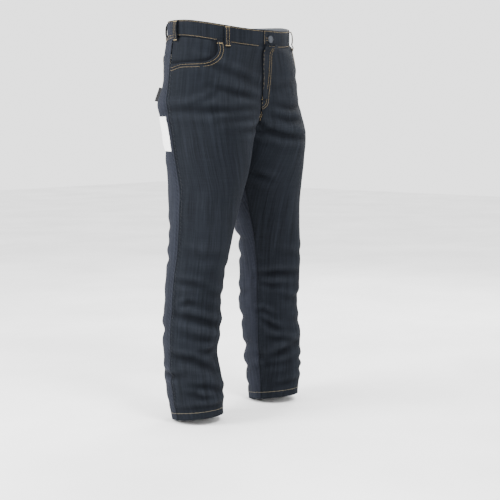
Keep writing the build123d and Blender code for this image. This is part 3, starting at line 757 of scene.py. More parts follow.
HALVES = {side: Half(side) for side in ("right", "left")}
CELL = (TURN[:-1, :-1] + TURN[1:, 1:]) / 2
CELL_POINT = (BASE[:-1, :-1] + BASE[1:, 1:]) / 2
CELL_X = np.abs(CELL_POINT[..., 0]) / MM
CELL_Z = CELL_POINT[..., 2] / MM
IS_FRONT = np.arange(COLUMNS - 1)[None, :] >= MID
IS_FRONT = np.repeat(IS_FRONT, ROWS - 1, 0)
UPPER = CELL_Z > SPLIT / MM


def hip_blend(piece, side):
    """Bakes the placement of a piece from between the seat and the thigh into its mesh."""
    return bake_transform(piece)


def knee_blend(piece, side):
    """Bakes the placement of a piece from between the thigh and the shank into its mesh."""
    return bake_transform(piece)


YOKE_RISE = math.tan(math.radians(17))


def pocket_window():
    """Cells of the front inside the pocket mouth."""
    x, z = CELL_X, CELL_Z
    inside = IS_FRONT & (x > POCKET_EDGE) & (z > -118)
    corner = (x < POCKET_EDGE + 40) & (z < -78) & (np.hypot(x - POCKET_EDGE - 40, z + 78) > 40)
    return inside & ~corner


def yoke_cells():
    """Cells of the back above the yoke's seam."""
    return ~IS_FRONT & (CELL_Z > -112 + CELL_X * YOKE_RISE)


ZIP_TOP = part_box("fly_overlap")[1].z
ZIP_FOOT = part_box("fly_overlap")[0].z
FLAP_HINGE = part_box("fly_overlap")[1].x


# ------------------------------------------------------------------ cloth pieces
def flat_size(keep):
    """The width, length and area in metres of kept cells, before any wrinkle."""
    across = np.linalg.norm(BASE[:, 1:] - BASE[:, :-1], axis=2)
    down = np.linalg.norm(BASE[1:] - BASE[:-1], axis=2)
    wide = (across[:-1] * keep).sum(1).max()
    long = (down[:, :-1] * keep).sum(0).max()
    area = (across[:-1] * down[:, :-1] * keep).sum()
    return wide, long, area


def hang(piece, keep=None, closed=False):
    """Measures a piece's area and, given its kept cells, its flat width and length; the results are not kept.
    """
    measured = sum(p.area for p in piece.data.polygons) / (2 if closed else 1)
    if keep is None:
        size = [v.co for v in piece.data.vertices]
        longest = max((max(v[i] for v in size) - min(v[i] for v in size)) for i in range(3))
        longest = max(longest, math.sqrt(measured))
        return
    wide, long, area = flat_size(keep)
    area = (area + measured) / 2
    wide = max(wide, area / long)


FLAP_TREE = BVHTree.FromPolygons([v.co for v in frame["nodes"]["fly_overlap"].data.vertices],
                                 [p.vertices for p in frame["nodes"]["fly_overlap"].data.polygons])


def flap_free_edge(z):
    """How far past the middle, in mm, the fly overlap reaches at a level."""
    z = min(max(z, ZIP_FOOT + 0.0015), ZIP_TOP - 0.001)
    low = -0.030
    for x in np.arange(-0.030, FLAP_HINGE, 0.0005):
        if FLAP_TREE.ray_cast(Vector((x, -0.2, z)), Vector((0, 1, 0)))[0] is not None:
            low = x
            break
    return -low / MM


def flap_hinge_side(z):
    """How far out on the left, in mm, the flap reaches at a level, round its foot."""
    z = min(max(z, ZIP_FOOT + 0.0015), ZIP_TOP - 0.001)
    for x in np.arange(FLAP_HINGE - 0.0002, -0.030, -0.0005):
        if FLAP_TREE.ray_cast(Vector((x, -0.2, z)), Vector((0, 1, 0)))[0] is not None:
            return x / MM
    return 0.0


HINGE_FOOT = ZIP_FOOT / MM + 24
LEFT_FLAP = (IS_FRONT & (CELL_Z > ZIP_FOOT / MM + 3) & (FROM_CENTRE[:-1, :-1] < 0.0201)
             & (FROM_CENTRE[1:, 1:] < 0.0201) & ((CELL_Z > HINGE_FOOT)
             | (np.hypot(CELL_X + 4, CELL_Z - HINGE_FOOT) < 21)))
RIGHT_FLY = (IS_FRONT & (CELL_Z > -215) & (FROM_CENTRE[:-1, :-1] < 0.0091) & (FROM_CENTRE[1:, 1:] < 0.0091))


def cloth_pieces(side):
    """The outer cloth of one side, front and back, above and below the split."""
    half = HALVES[side]
    window = pocket_window()
    wide_window = window.copy()
    for _ in range(2):
        grown = wide_window.copy()
        grown[1:] |= wide_window[:-1]
        grown[:-1] |= wide_window[1:]
        grown[:, 1:] |= wide_window[:, :-1]
        grown[:, :-1] |= wide_window[:, 1:]
        wide_window = grown
    fly = LEFT_FLAP if side == "left" else RIGHT_FLY
    front = IS_FRONT & UPPER & ~window & ~fly
    piece = half.grid_piece(side + "_front_upper", front, FRONT, "denim_front")
    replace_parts(piece, side + "_front_panel", side + "_hip_cloth", side + "_thigh_front")
    hang(hip_blend(piece, side), front)
    backing = wide_window & IS_FRONT
    piece = half.grid_piece(side + "_pocket_backing", backing, FRONT, "denim_front", 1.9 * MM)
    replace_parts(piece, "pocket_backings")
    hang(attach(piece, "seat"))
    low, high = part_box("pocket_bags")
    bag = IS_FRONT & (CELL_Z < high.z / MM) & (CELL_Z > low.z / MM) & (CELL > 6) & (CELL < 66)
    piece = half.grid_piece(side + "_pocket_sack", bag, POCKETING, "pocketing", 3.4 * MM)
    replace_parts(piece, "pocket_bags")
    hang(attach(piece, "seat"))
    yoke = yoke_cells()
    piece = half.grid_piece(side + "_yoke", yoke, DENIM_PAINTED_RIM_LIGHT, "denim_back", -0.9 * MM)
    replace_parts(piece, side + "_back_yoke")
    hang(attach(piece, "seat"))
    under = ~IS_FRONT & UPPER & (CELL_Z < -112 + CELL_X * YOKE_RISE + 12)
    piece = half.grid_piece(side + "_back_upper", under, DENIM_PAINTED_RIM_LIGHT, "denim_back")
    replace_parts(piece, side + "_back_panel", side + "_thigh_back")
    hang(hip_blend(piece, side), under)
    lower = IS_FRONT & ~UPPER
    piece = half.grid_piece(side + "_front_lower", lower, FRONT, "denim_front")
    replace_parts(piece, side + "_knee_cloth", side + "_shin_front")
    hang(knee_blend(piece, side), lower)
    lower = ~IS_FRONT & ~UPPER
    piece = half.grid_piece(side + "_back_lower", lower, DENIM_PAINTED_RIM_LIGHT, "denim_back")
    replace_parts(piece, side + "_calf_back")
    hang(knee_blend(piece, side), lower)


def inner_layer(half, name, keep, deep, material, slot, step=2):
    """A coarser layer inside the cloth from kept cells, at a depth for each grid point."""
    rows = np.arange(0, ROWS, step)
    columns = np.unique(np.append(np.arange(0, COLUMNS, step), [MID, COLUMNS - 1]))
    points = half.world(BASE - NORMAL * deep[..., None])[np.ix_(rows, columns)]
    inside = keep[np.ix_(np.minimum(rows[:-1], ROWS - 2), np.minimum(columns[:-1], COLUMNS - 2))]
    cells = np.argwhere(inside)
    width = len(columns)
    faces = [(r * width + c, (r + 1) * width + c, (r + 1) * width + c + 1, r * width + c + 1)
             for r, c in cells]
    if half.sign == -1:
        faces = [f[::-1] for f in faces]
    flat = points.reshape(-1, 3)
    used = sorted({i for f in faces for i in f})
    renumber = {old: new for new, old in enumerate(used)}
    faces = [tuple(renumber[i] for i in f) for f in faces]
    return flat[used], faces, material, slot, name


def padding(half, name, keep, nodes, blended):
    """A quilted pad: two faces and a closed rim, inside the cloth."""
    move = np.minimum(half.move, 0.006)
    quilt = 0.7 * MM * np.abs(np.sin(LEVEL / 0.045 * np.pi)) ** 0.5
    outer = -(move - 4.1 * MM) + 0.7 * MM - quilt
    inner = np.maximum(-move * 0.4 + 9.4 * MM, outer + 3.2 * MM)
    top, faces, _, _, _ = inner_layer(half, name, keep, outer, PAD, "pad_fibre")
    low, _, _, _, _ = inner_layer(half, name, keep, inner, PAD, "pad_fibre")
    count = len(top)
    edges = {}
    for face in faces:
        for a, b in zip(face, face[1:] + face[:1]):
            edges[(a, b)] = True
    rim = [(b, a, a + count, b + count) for a, b in edges if (b, a) not in edges]
    every = faces + [tuple(i + count for i in f[::-1]) for f in faces] + rim
    piece = mesh_object(name, np.vstack([top, low]), every, PAD)
    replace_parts(piece, *nodes)
    blended(piece)


def inside_pieces(side):
    """Pads in the front of the leg and the lining that covers them."""
    half = HALVES[side]
    move = np.minimum(half.move, 0.006)
    outer = -(move - 4.1 * MM) + 0.7 * MM
    lining_depth = np.maximum(-move * 0.4 + 10.4 * MM, outer + 4.4 * MM)
    wrapped = (CELL > -14) & (CELL < 158) & (FROM_CENTRE[:-1, :-1] > 0.032)
    above_hem = CELL_Z > hem_edge(CELL_POINT[..., 1]) / MM + 46
    upper = UPPER & wrapped & (CELL_Z < -94)
    lower = ~UPPER & wrapped & above_hem
    padding(half, side + "_pad_upper", upper, [side + "_hip_pad", side + "_hip_layers", side + "_thigh_pad"],
            lambda p: hip_blend(p, side))
    padding(half, side + "_pad_lower", lower, [side + "_knee_layers", side + "_shin_pad"],
            lambda p: knee_blend(p, side))
    for part, keep, nodes, blended in (
            ("upper", UPPER & (CELL_Z < -60) & (FROM_CENTRE[:-1, :-1] > 0.024),
             [side + "_seat_lining", side + "_thigh_lining"], hip_blend),
            ("lower", ~UPPER & above_hem, [side + "_shin_lining"], knee_blend)):
        points, faces, material, slot, name = inner_layer(
            half, side + "_lining_" + part, keep, lining_depth, LINING, "lining")
        piece = mesh_object(name, points, faces, material)
        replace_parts(piece, *nodes)
        hang(blended(piece, side), keep)


def hem_piece(side):
    """The turned-up hem inside the leg's lower edge, with a rounded fold."""
    half = HALVES[side]
    closed = np.concatenate([np.arange(COLUMNS - 1)])
    base = half.points[-1, closed]
    normal = half.normals[-1, closed]
    up = half.points[-6, closed] - base
    up /= np.linalg.norm(up, axis=1, keepdims=True)
    profile = [(0.0, 0.25), (-0.9, 0.0), (-1.5, -0.8), (-1.2, -1.9), (-0.2, -2.4)]
    profile += [(h, -2.5 - 0.25 * math.sin(h)) for h in (3, 6, 9, 12, 15)] + [(17, -2.3)]
    profile += [(17.4, -1.6), (16.6, -1.0), (8, -1.1), (2, -0.9)]
    vertices = []
    for rise, off in profile:
        vertices.append(base + up * (rise * MM) + normal * (off * MM))
    vertices = half.world(np.concatenate(vertices))
    count, loops = len(base), len(profile)
    faces = []
    for k in range(loops):
        for j in range(count):
            a, b = k * count + j, k * count + (j + 1) % count
            c, d = ((k + 1) % loops) * count + (j + 1) % count, ((k + 1) % loops) * count + j
            faces.append((a, b, c, d) if half.sign == 1 else (d, c, b, a))
    cloth = np.stack([np.tile(ACROSS[-1, closed], loops), np.repeat([h * MM for h, _ in profile], count),
                      np.zeros(count * loops)], 1)
    piece = mesh_object(side + "_hem_fold", vertices, faces, FRONT, cloth=cloth,
                        painted_shade=np.full(count * loops, 0.5))
    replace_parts(piece, side + "_hem")
    hang(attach(piece, side + "_shank"), closed=True)


def row_point(half, row, distance):
    """The finished surface of a row, at a distance in mm from the front centre."""
    columns = np.arange(COLUMNS - 1, MID, -1)
    away = FROM_END[row, columns] / MM
    point = np.array([np.interp(distance, away, half.points[row, columns, i]) for i in range(3)])
    normal = np.array([np.interp(distance, away, half.normals[row, columns, i]) for i in range(3)])
    return point, normal / np.linalg.norm(normal)


def fly_flap():
    """The fly's overlap: from its hinge line on the left, over the middle, to its free edge."""
    rows = [i for i in range(ROWS) if ZIP_FOOT + 0.001 < LEVEL[i, -1] < ZIP_TOP + 0.004]
    vertices, cloth, normals = [], [], []
    columns = 20
    for i in rows:
        z = LEVEL[i, -1]
        left, right = flap_hinge_side(z), flap_free_edge(z)
        if left > 19:
            left = 20.0
        for k in range(columns + 1):
            d = left + (-right - left) * k / columns
            half = HALVES["left"] if d > 0 else HALVES["right"]
            point, normal = row_point(half, i, abs(d))
            off = 0.45 * smoothstep((20 - d) / 3.0) + 1.3 * smoothstep((3 - d) / 8.0)
            edge = right + d
            off += 1.1 * math.exp(-(edge / 3.0) ** 2) - 0.4 * math.exp(-((edge - 4.6) / 1.4) ** 2)
            off += 0.35 * math.sin(z / 0.011 * 6.28 + d * 0.2) * math.exp(-(edge / 7) ** 2)
            vertices.append(half.world(point + normal * off * MM))
            normals.append(half.world(normal))
            cloth.append((0.3 + d * MM, z, 0))
    faces = [(r * (columns + 1) + c, r * (columns + 1) + c + 1, (r + 1) * (columns + 1) + c + 1,
              (r + 1) * (columns + 1) + c) for r in range(len(rows) - 1) for c in range(columns)]
    top, low = np.array(vertices), np.array(vertices) - np.array(normals) * 1.1 * MM
    count = len(top)
    edges = {(a, b) for f in faces for a, b in zip(f, f[1:] + f[:1])}
    rim = [(b, a, a + count, b + count) for a, b in edges if (b, a) not in edges]
    every = faces + [tuple(i + count for i in f[::-1]) for f in faces] + rim
    every = [f[::-1] for f in every]
    piece = mesh_object("fly_flap", np.vstack([top, low]), every, FRONT,
                        cloth=cloth + cloth, painted_shade=np.full(2 * count, 0.5))
    if piece.data.polygons[5].normal.y > 0:
        piece.data.flip_normals()
    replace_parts(piece, "fly_overlap")
    hang(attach(piece, "fly_flap"), closed=True)


# ---------------------------------------------------------------------- waistband
BAND_LOW, BAND_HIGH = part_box("waistband_outer")
BAND_AXES = ((BAND_HIGH.x - BAND_LOW.x) / 2, (BAND_HIGH.y - BAND_LOW.y) / 2)
BAND_MIDDLE = (BAND_HIGH.y + BAND_LOW.y) / 2
BAND_TREE = BVHTree.FromPolygons([v.co for v in frame["nodes"]["waistband_outer"].data.vertices],
                                 [p.vertices for p in frame["nodes"]["waistband_outer"].data.polygons])


def band_point(angle, share, off):
    """A point on the waistband: angle from +X, share down from the top, outward in mm."""
    a, b = BAND_AXES
    x, y = a * math.cos(angle), BAND_MIDDLE + b * math.sin(angle)
    out = Vector((math.cos(angle) / a, math.sin(angle) / b, 0)).normalized()
    top, low = float(band_top(y)), float(band_bottom(y))
    return Vector((x, y, top + (low - top) * share)) + out * (off * MM), out


def band_exists(angle):
    """Whether the CAD waistband has cloth at an angle."""
    point, out = band_point(angle, 0.5, 30)
    return BAND_TREE.ray_cast(point, -out, 0.06)[0] is not None


def band_angles():
    """Angles round the waistband where there's cloth, in order from one end to the other."""
    step = math.radians(0.9)
    front = -math.pi / 2
    angles = [front + step * i for i in range(401)]
    there = [a for a in angles if band_exists(a)]
    jumps = [b - a for a, b in zip(there, there[1:])]
    if max(jumps) > 2.5 * step:
        k = jumps.index(max(jumps))
        there = there[k + 1:] + [a + 2 * math.pi for a in there[:k + 1]]
    return there


def band_relief(angle, share):
    """How far in mm the puffed waistband stands off its smooth shape at a place."""
    puff = 0.9 * math.sin(math.pi * min(max(share, 0), 1)) ** 0.5
    puff -= 0.55 * (math.exp(-((share - 0.075) / 0.022) ** 2) + math.exp(-((share - 0.925) / 0.022) ** 2))
    spot = np.array(band_point(angle, share, 0)[0])
    ripple = 0.45 * lattice_noise(spot * np.array([1, 1, 0.5]), 0.013, 21) * math.sin(math.pi * share)
    return puff + ripple + 0.5 * lattice_noise(spot, 0.04, 22)


def band_mesh(name, angles, raise_by, material, inner=-2.4):
    """A puffed strip of waistband over some angles, wrapped round its top and bottom edges."""
    outer = [0.0, 0.012, 0.03, 0.06, 0.09, 0.13, 0.2, 0.3, 0.4, 0.5, 0.6, 0.7, 0.8, 0.87, 0.91,
             0.94, 0.97, 0.988, 1.0]
    vertices, cloth = [], []
    for n, angle in enumerate(angles):
        for share in outer:
            tuck = 0.9 if share in (0.0, 1.0) else 0
            point, _ = band_point(angle, share, raise_by + band_relief(angle, share) - tuck)
            vertices.append(point)
            cloth.append((angle * 0.15, point.z, 0))
        for share in (0.99, 0.5, 0.01):
            point, _ = band_point(angle, share, inner + raise_by)
            vertices.append(point)
            cloth.append((angle * 0.15, point.z, 0))
    loop = len(outer) + 3
    faces = []
    for n in range(len(angles) - 1):
        for k in range(loop):
            a, b = n * loop + k, n * loop + (k + 1) % loop
            faces.append((a, b, b + loop, a + loop))
    faces.append(tuple(range(loop))[::-1])
    faces.append(tuple((len(angles) - 1) * loop + k for k in range(loop)))
    painted_shade = np.full(len(vertices), 0.52)
    piece = mesh_object(name, vertices, faces, material, cloth=cloth, painted_shade=painted_shade)
    test = piece.data.polygons[4]
    if test.normal.dot(Vector((test.center.x, test.center.y - BAND_MIDDLE, 0))) < 0:
        piece.data.flip_normals()
    return piece


def cloth_copy(name, nodes, material, body, inwards=0.0, swell=0.25):
    """A softly uneven cloth version of thin CAD pieces that lie inside."""
    import bmesh
    mesh = bmesh.new()
    for node in nodes:
        mesh.from_mesh(frame["nodes"][node].data)
    bmesh.ops.remove_doubles(mesh, verts=mesh.verts, dist=1e-6)
    for _ in range(4):
        long = [e for e in mesh.edges if e.calc_length() > 0.007]
        if not long or len(mesh.verts) > 30000:
            break
        bmesh.ops.subdivide_edges(mesh, edges=long, cuts=1, use_grid_fill=False)
        bmesh.ops.triangulate(mesh, faces=[f for f in mesh.faces if len(f.verts) > 4])
    mesh.normal_update()
    points = np.array([v.co for v in mesh.verts])
    push = lattice_noise(points, 0.012, 31) * swell * MM
    for vertex, by in zip(mesh.verts, push):
        vertex.co += vertex.normal * by + Vector((0, inwards * MM, 0))
    data = bpy.data.meshes.new(name)
    mesh.to_mesh(data)
    mesh.free()
    data.materials.append(material)
    attribute = data.attributes.new("cloth", "FLOAT_VECTOR", "POINT")
    attribute.data.foreach_set("vector", np.stack([points[:, 0], points[:, 2], points[:, 1]], 1)
                               .astype(np.float32).ravel())
    attribute = data.attributes.new("painted_shade", "FLOAT", "POINT")
    attribute.data.foreach_set("value", np.full(len(points), 0.5, np.float32))
    piece = bpy.data.objects.new(name, data)
    bpy.context.scene.collection.objects.link(piece)
    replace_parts(piece, *nodes)
    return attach(piece, body)


for side_name in ("right", "left"):
    cloth_pieces(side_name)
    inside_pieces(side_name)
    hem_piece(side_name)
fly_flap()
waist_angles = band_angles()
band = band_mesh("waistband", waist_angles, 0.0, FRONT)
# The rear of the band takes the lighter back denim, as painted rim light.
band.data.materials.append(DENIM_PAINTED_RIM_LIGHT)
for polygon in band.data.polygons:
    polygon.material_index = 1 if polygon.center.y > 0.012 else 0
hang(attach(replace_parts(band, "waistband_outer"), "seat"), closed=True)
TAB_LOW, TAB_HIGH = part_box("waistband_tab")
tab_angles = [math.acos(x / BAND_AXES[0]) * -1
              for x in np.linspace(TAB_LOW.x, TAB_HIGH.x, 15)]
tab = band_mesh("waistband_end_tab", tab_angles, 1.9, FRONT, inner=-1.9)
hang(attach(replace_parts(tab, "waistband_tab"), "fly_flap"), closed=True)

for name, nodes, material, slot, body, inwards in (
        ("waistband_lining", ["waistband_facing"], POCKETING, "pocketing", "seat", 0.0),
        ("fly_guard", ["fly_shield"], FRONT, "denim_front", "seat", 1.0),
        ("zip_tape_left", ["left_zip_tape"], TAPE, "zip_tape", "seat", 0.0),
        ("zip_tape_right", ["right_zip_tape"], TAPE, "zip_tape", "seat", 0.0),
        ("fly_flap_facing", ["fly_facing"], FRONT, "denim_front", "fly_flap", 3.0)):
    hang(cloth_copy(name, nodes, material, body, inwards), closed=True)



# --------------------------------------------------------------------- stitching
THREADS = {}


def sew(group, points, normals, material=THREAD, length=2.9, gap=0.7, radius=0.34):
    """Adds a row of thread stitches along a line on the surface to a group."""
    points, normals = np.array(points, float), np.array(normals, float)
    lengths = np.concatenate([[0], np.cumsum(np.linalg.norm(np.diff(points, axis=0), axis=1))])
    count = max(int(lengths[-1] / ((length + gap) * MM)), 1)
    at = (np.arange(count) + 0.5) * lengths[-1] / count
    half = length * MM / 2
    store = THREADS.setdefault(group, ([], [], material))

    def along(values, where):
        return np.stack([np.interp(where, lengths, values[:, i]) for i in range(3)], 1)

    centres, outward = along(points, at), along(normals, at)
    ahead = along(points, np.minimum(at + half, lengths[-1])) - along(points, np.maximum(at - half, 0))
    for centre, normal, tangent in zip(centres, outward, ahead):
        size = np.linalg.norm(tangent)
        if size < 1e-6:
            continue
        tangent = tangent / size
        normal = normal - tangent * (normal @ tangent)
        normal /= np.linalg.norm(normal)
        side = np.cross(normal, tangent)
        centre = centre + normal * radius * 0.35 * MM
        start = len(store[0])
        store[0].append(centre - tangent * half - normal * radius * 0.4 * MM)
        for s in (-0.55, 0.55):
            for u, v in ((1, 0), (0, 1), (-1, 0), (0, -1)):
                store[0].append(centre + tangent * half * s + (side * u + normal * v) * radius * MM)
        store[0].append(centre + tangent * half - normal * radius * 0.4 * MM)
        for k in range(4):
            n = (k + 1) % 4
            store[1].append((start, start + 1 + n, start + 1 + k))
            store[1].append((start + 1 + k, start + 1 + n, start + 5 + n, start + 5 + k))
            store[1].append((start + 5 + k, start + 5 + n, start + 9))


def thread_piece(group, name):
    """Makes one object of a group's stitches."""
    vertices, faces, material = THREADS.pop(group)
    return mesh_object(name, vertices, faces, material)


def surface_line(half, face, places, by_x=True, off=0.15, step=2.0):
    """Points and normals on the finished surface along straight runs between places, in mm."""
    points, normals = [], []
    for (x0, z0), (x1, z1) in zip(places[:-1], places[1:]):
        count = max(int(math.hypot(x1 - x0, z1 - z0) / step), 1)
        for k in range(count + (1 if (x1, z1) == tuple(places[-1]) else 0)):
            t = k / count
            point, normal = half.at(face, x0 + (x1 - x0) * t, z0 + (z1 - z0) * t, by_x, off * MM)
            if points and np.linalg.norm(point - points[-1]) < 0.3 * MM:
                continue
            points.append(point)
            normals.append(normal)
    return points, normals


def bartack(group, points, normals, wide=2.6, material=THREAD):
    """A dense bar of short stitches across a line."""
    points, normals = np.array(points, float), np.array(normals, float)
    lengths = np.concatenate([[0], np.cumsum(np.linalg.norm(np.diff(points, axis=0), axis=1))])
    count = max(int(lengths[-1] / (0.75 * MM)), 2)
    for where in np.linspace(0, lengths[-1], count):
        point = np.array([np.interp(where, lengths, points[:, i]) for i in range(3)])
        normal = np.array([np.interp(where, lengths, normals[:, i]) for i in range(3)])
        ahead = points[-1] - points[0]
        across = np.cross(normal, ahead / np.linalg.norm(ahead))
        across /= np.linalg.norm(across)
        ends = [point - across * wide / 2 * MM, point + across * wide / 2 * MM]
        sew(group, ends, [normal, normal], material, length=wide, gap=0.1, radius=0.4)


def below_band(half, face, x, drop=0.0):
    """The level in mm where the body comes out from under the waistband, x mm from the middle."""
    level = -60.0
    for _ in range(4):
        level = float(band_bottom(half.at(face, x, level)[0][1])) / MM
    return level - drop


def mouth_line(half, out, off):
    """Points and normals along the front pocket's mouth, a distance outside it, in mm."""
    round_x, round_z = POCKET_EDGE + 40, -78
    start_z = below_band(half, "front", POCKET_EDGE - out, 1.5)
    corner = [(round_x - (40 + out) * math.cos(a), round_z - (40 + out) * math.sin(a))
              for a in np.linspace(0, math.pi / 2, 14)]
    points, normals = surface_line(half, "front", [(POCKET_EDGE - out, start_z), *corner[:-2]], off=off)
    start = corner[-2]
    level = round_z - 40 - out
    turns = [t for t in range(60, 0, -1)
             if abs(half.at("front", t, start[1], False)[0][0]) * 1000 > start[0]]
    run = [(turns[0], start[1])]
    run += [(t, level - 7 * smoothstep((20 - t) / 18)) for t in range(turns[0] - 4, 0, -3)]
    more, outward = surface_line(half, "front", run, False, off)
    return points + more[1:], normals + outward[1:]


def strip(name, points, normals, wide, thick, material, lift=0.0):
    """A flattened round strip swept along a line on the surface."""
    points, normals = np.array(points, float), np.array(normals, float)
    tangents = np.gradient(points, axis=0)
    ring = 10
    vertices = []
    for point, normal, tangent in zip(points, normals, tangents):
        side = np.cross(normal, tangent)
        side /= np.linalg.norm(side)
        for k in range(ring):
            a = 2 * math.pi * k / ring
            vertices.append(point + side * math.cos(a) * wide / 2 * MM
                            + normal * (math.sin(a) * thick / 2 + lift) * MM)
    faces = [(i * ring + k, i * ring + (k + 1) % ring, (i + 1) * ring + (k + 1) % ring, (i + 1) * ring + k)
             for i in range(len(points) - 1) for k in range(ring)]
    faces.append(tuple(range(ring))[::-1])
    faces.append(tuple((len(points) - 1) * ring + k for k in range(ring)))
    cloth = [(i * 0.002, (k % ring) * 0.0012, 0) for i in range(len(points)) for k in range(ring)]
    # Its painted-shade value sits a little above neutral: a slight painted highlight along the rolled pocket
    # edge.
    piece = mesh_object(name, vertices, faces, material, cloth=cloth,
                        painted_shade=np.full(len(vertices), 0.55))
    if (piece.data.polygons[ring // 4].normal
            @ (piece.data.polygons[ring // 4].center - Vector(points[0]))) < 0:
        piece.data.flip_normals()
    return piece


def slab(name, rows, thick, material, seed=41):
    """A thin patch with soft edges from rows of (point, normal) on the surface."""
    points = np.array([[p for p, _ in row] for row in rows])
    normals = np.array([[n for _, n in row] for row in rows])
    r, c = points.shape[:2]
    u = np.minimum(np.arange(c), c - 1 - np.arange(c))[None, :]
    v = np.minimum(np.arange(r), r - 1 - np.arange(r))[:, None]
    edge = np.minimum(np.minimum(u, v) / 1.5, 1)
    height = thick * (0.45 + 0.55 * edge) + 0.3 * lattice_noise(points, 0.012, seed) * edge
    top = points + normals * (height * MM)[..., None]
    low = points - normals * 0.3 * MM
    count = r * c
    faces = [(i * c + j, (i + 1) * c + j, (i + 1) * c + j + 1, i * c + j + 1)
             for i in range(r - 1) for j in range(c - 1)]
    every = faces + [tuple(k + count for k in f[::-1]) for f in faces]
    edges = {(a, b) for f in faces for a, b in zip(f, f[1:] + f[:1])}
    every += [(b, a, a + count, b + count) for a, b in edges if (b, a) not in edges]
    flat = np.vstack([top.reshape(-1, 3), low.reshape(-1, 3)])
    cloth = np.stack([np.tile(np.tile(np.arange(c) * 0.002, r), 2), flat[:, 2], flat[:, 0] * 0], 1)
    piece = mesh_object(name, flat, every, material, cloth=cloth, painted_shade=np.full(2 * count, 0.5))
    middle = piece.data.polygons[len(faces) // 2]
    if middle.normal.dot(Vector(normals[r // 2, c // 2])) < 0:
        piece.data.flip_normals()
    return piece


def waistband_stitches():
    """Topstitching along both edges of the waistband and of its tab."""
    for group, angles, raised in (("seat", waist_angles, 0.0), ("flap", tab_angles, 1.9)):
        for share in (0.075, 0.925):
            pairs = [band_point(a, share, raised + band_relief(a, share) + 0.25) for a in angles]
            sew(group, [p for p, _ in pairs], [n for _, n in pairs])
    ends = [band_point(tab_angles[0] + 0.008, s, 2.6) for s in (0.08, 0.3, 0.5, 0.7, 0.92)]
    sew("flap", [p for p, _ in ends], [n for _, n in ends])
    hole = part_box("button")
    level = (hole[0].z + hole[1].z) / 2
    for rise in (2.6, -2.6):
        line = [band_point(a, 0, 2.75)[0] for a in tab_angles[2:-3]]
        sew("flap", [Vector((p.x, p.y, level + rise * MM)) for p in line], [(0, -1, 0)] * len(line),
            THREAD, length=1.4, gap=0.2)


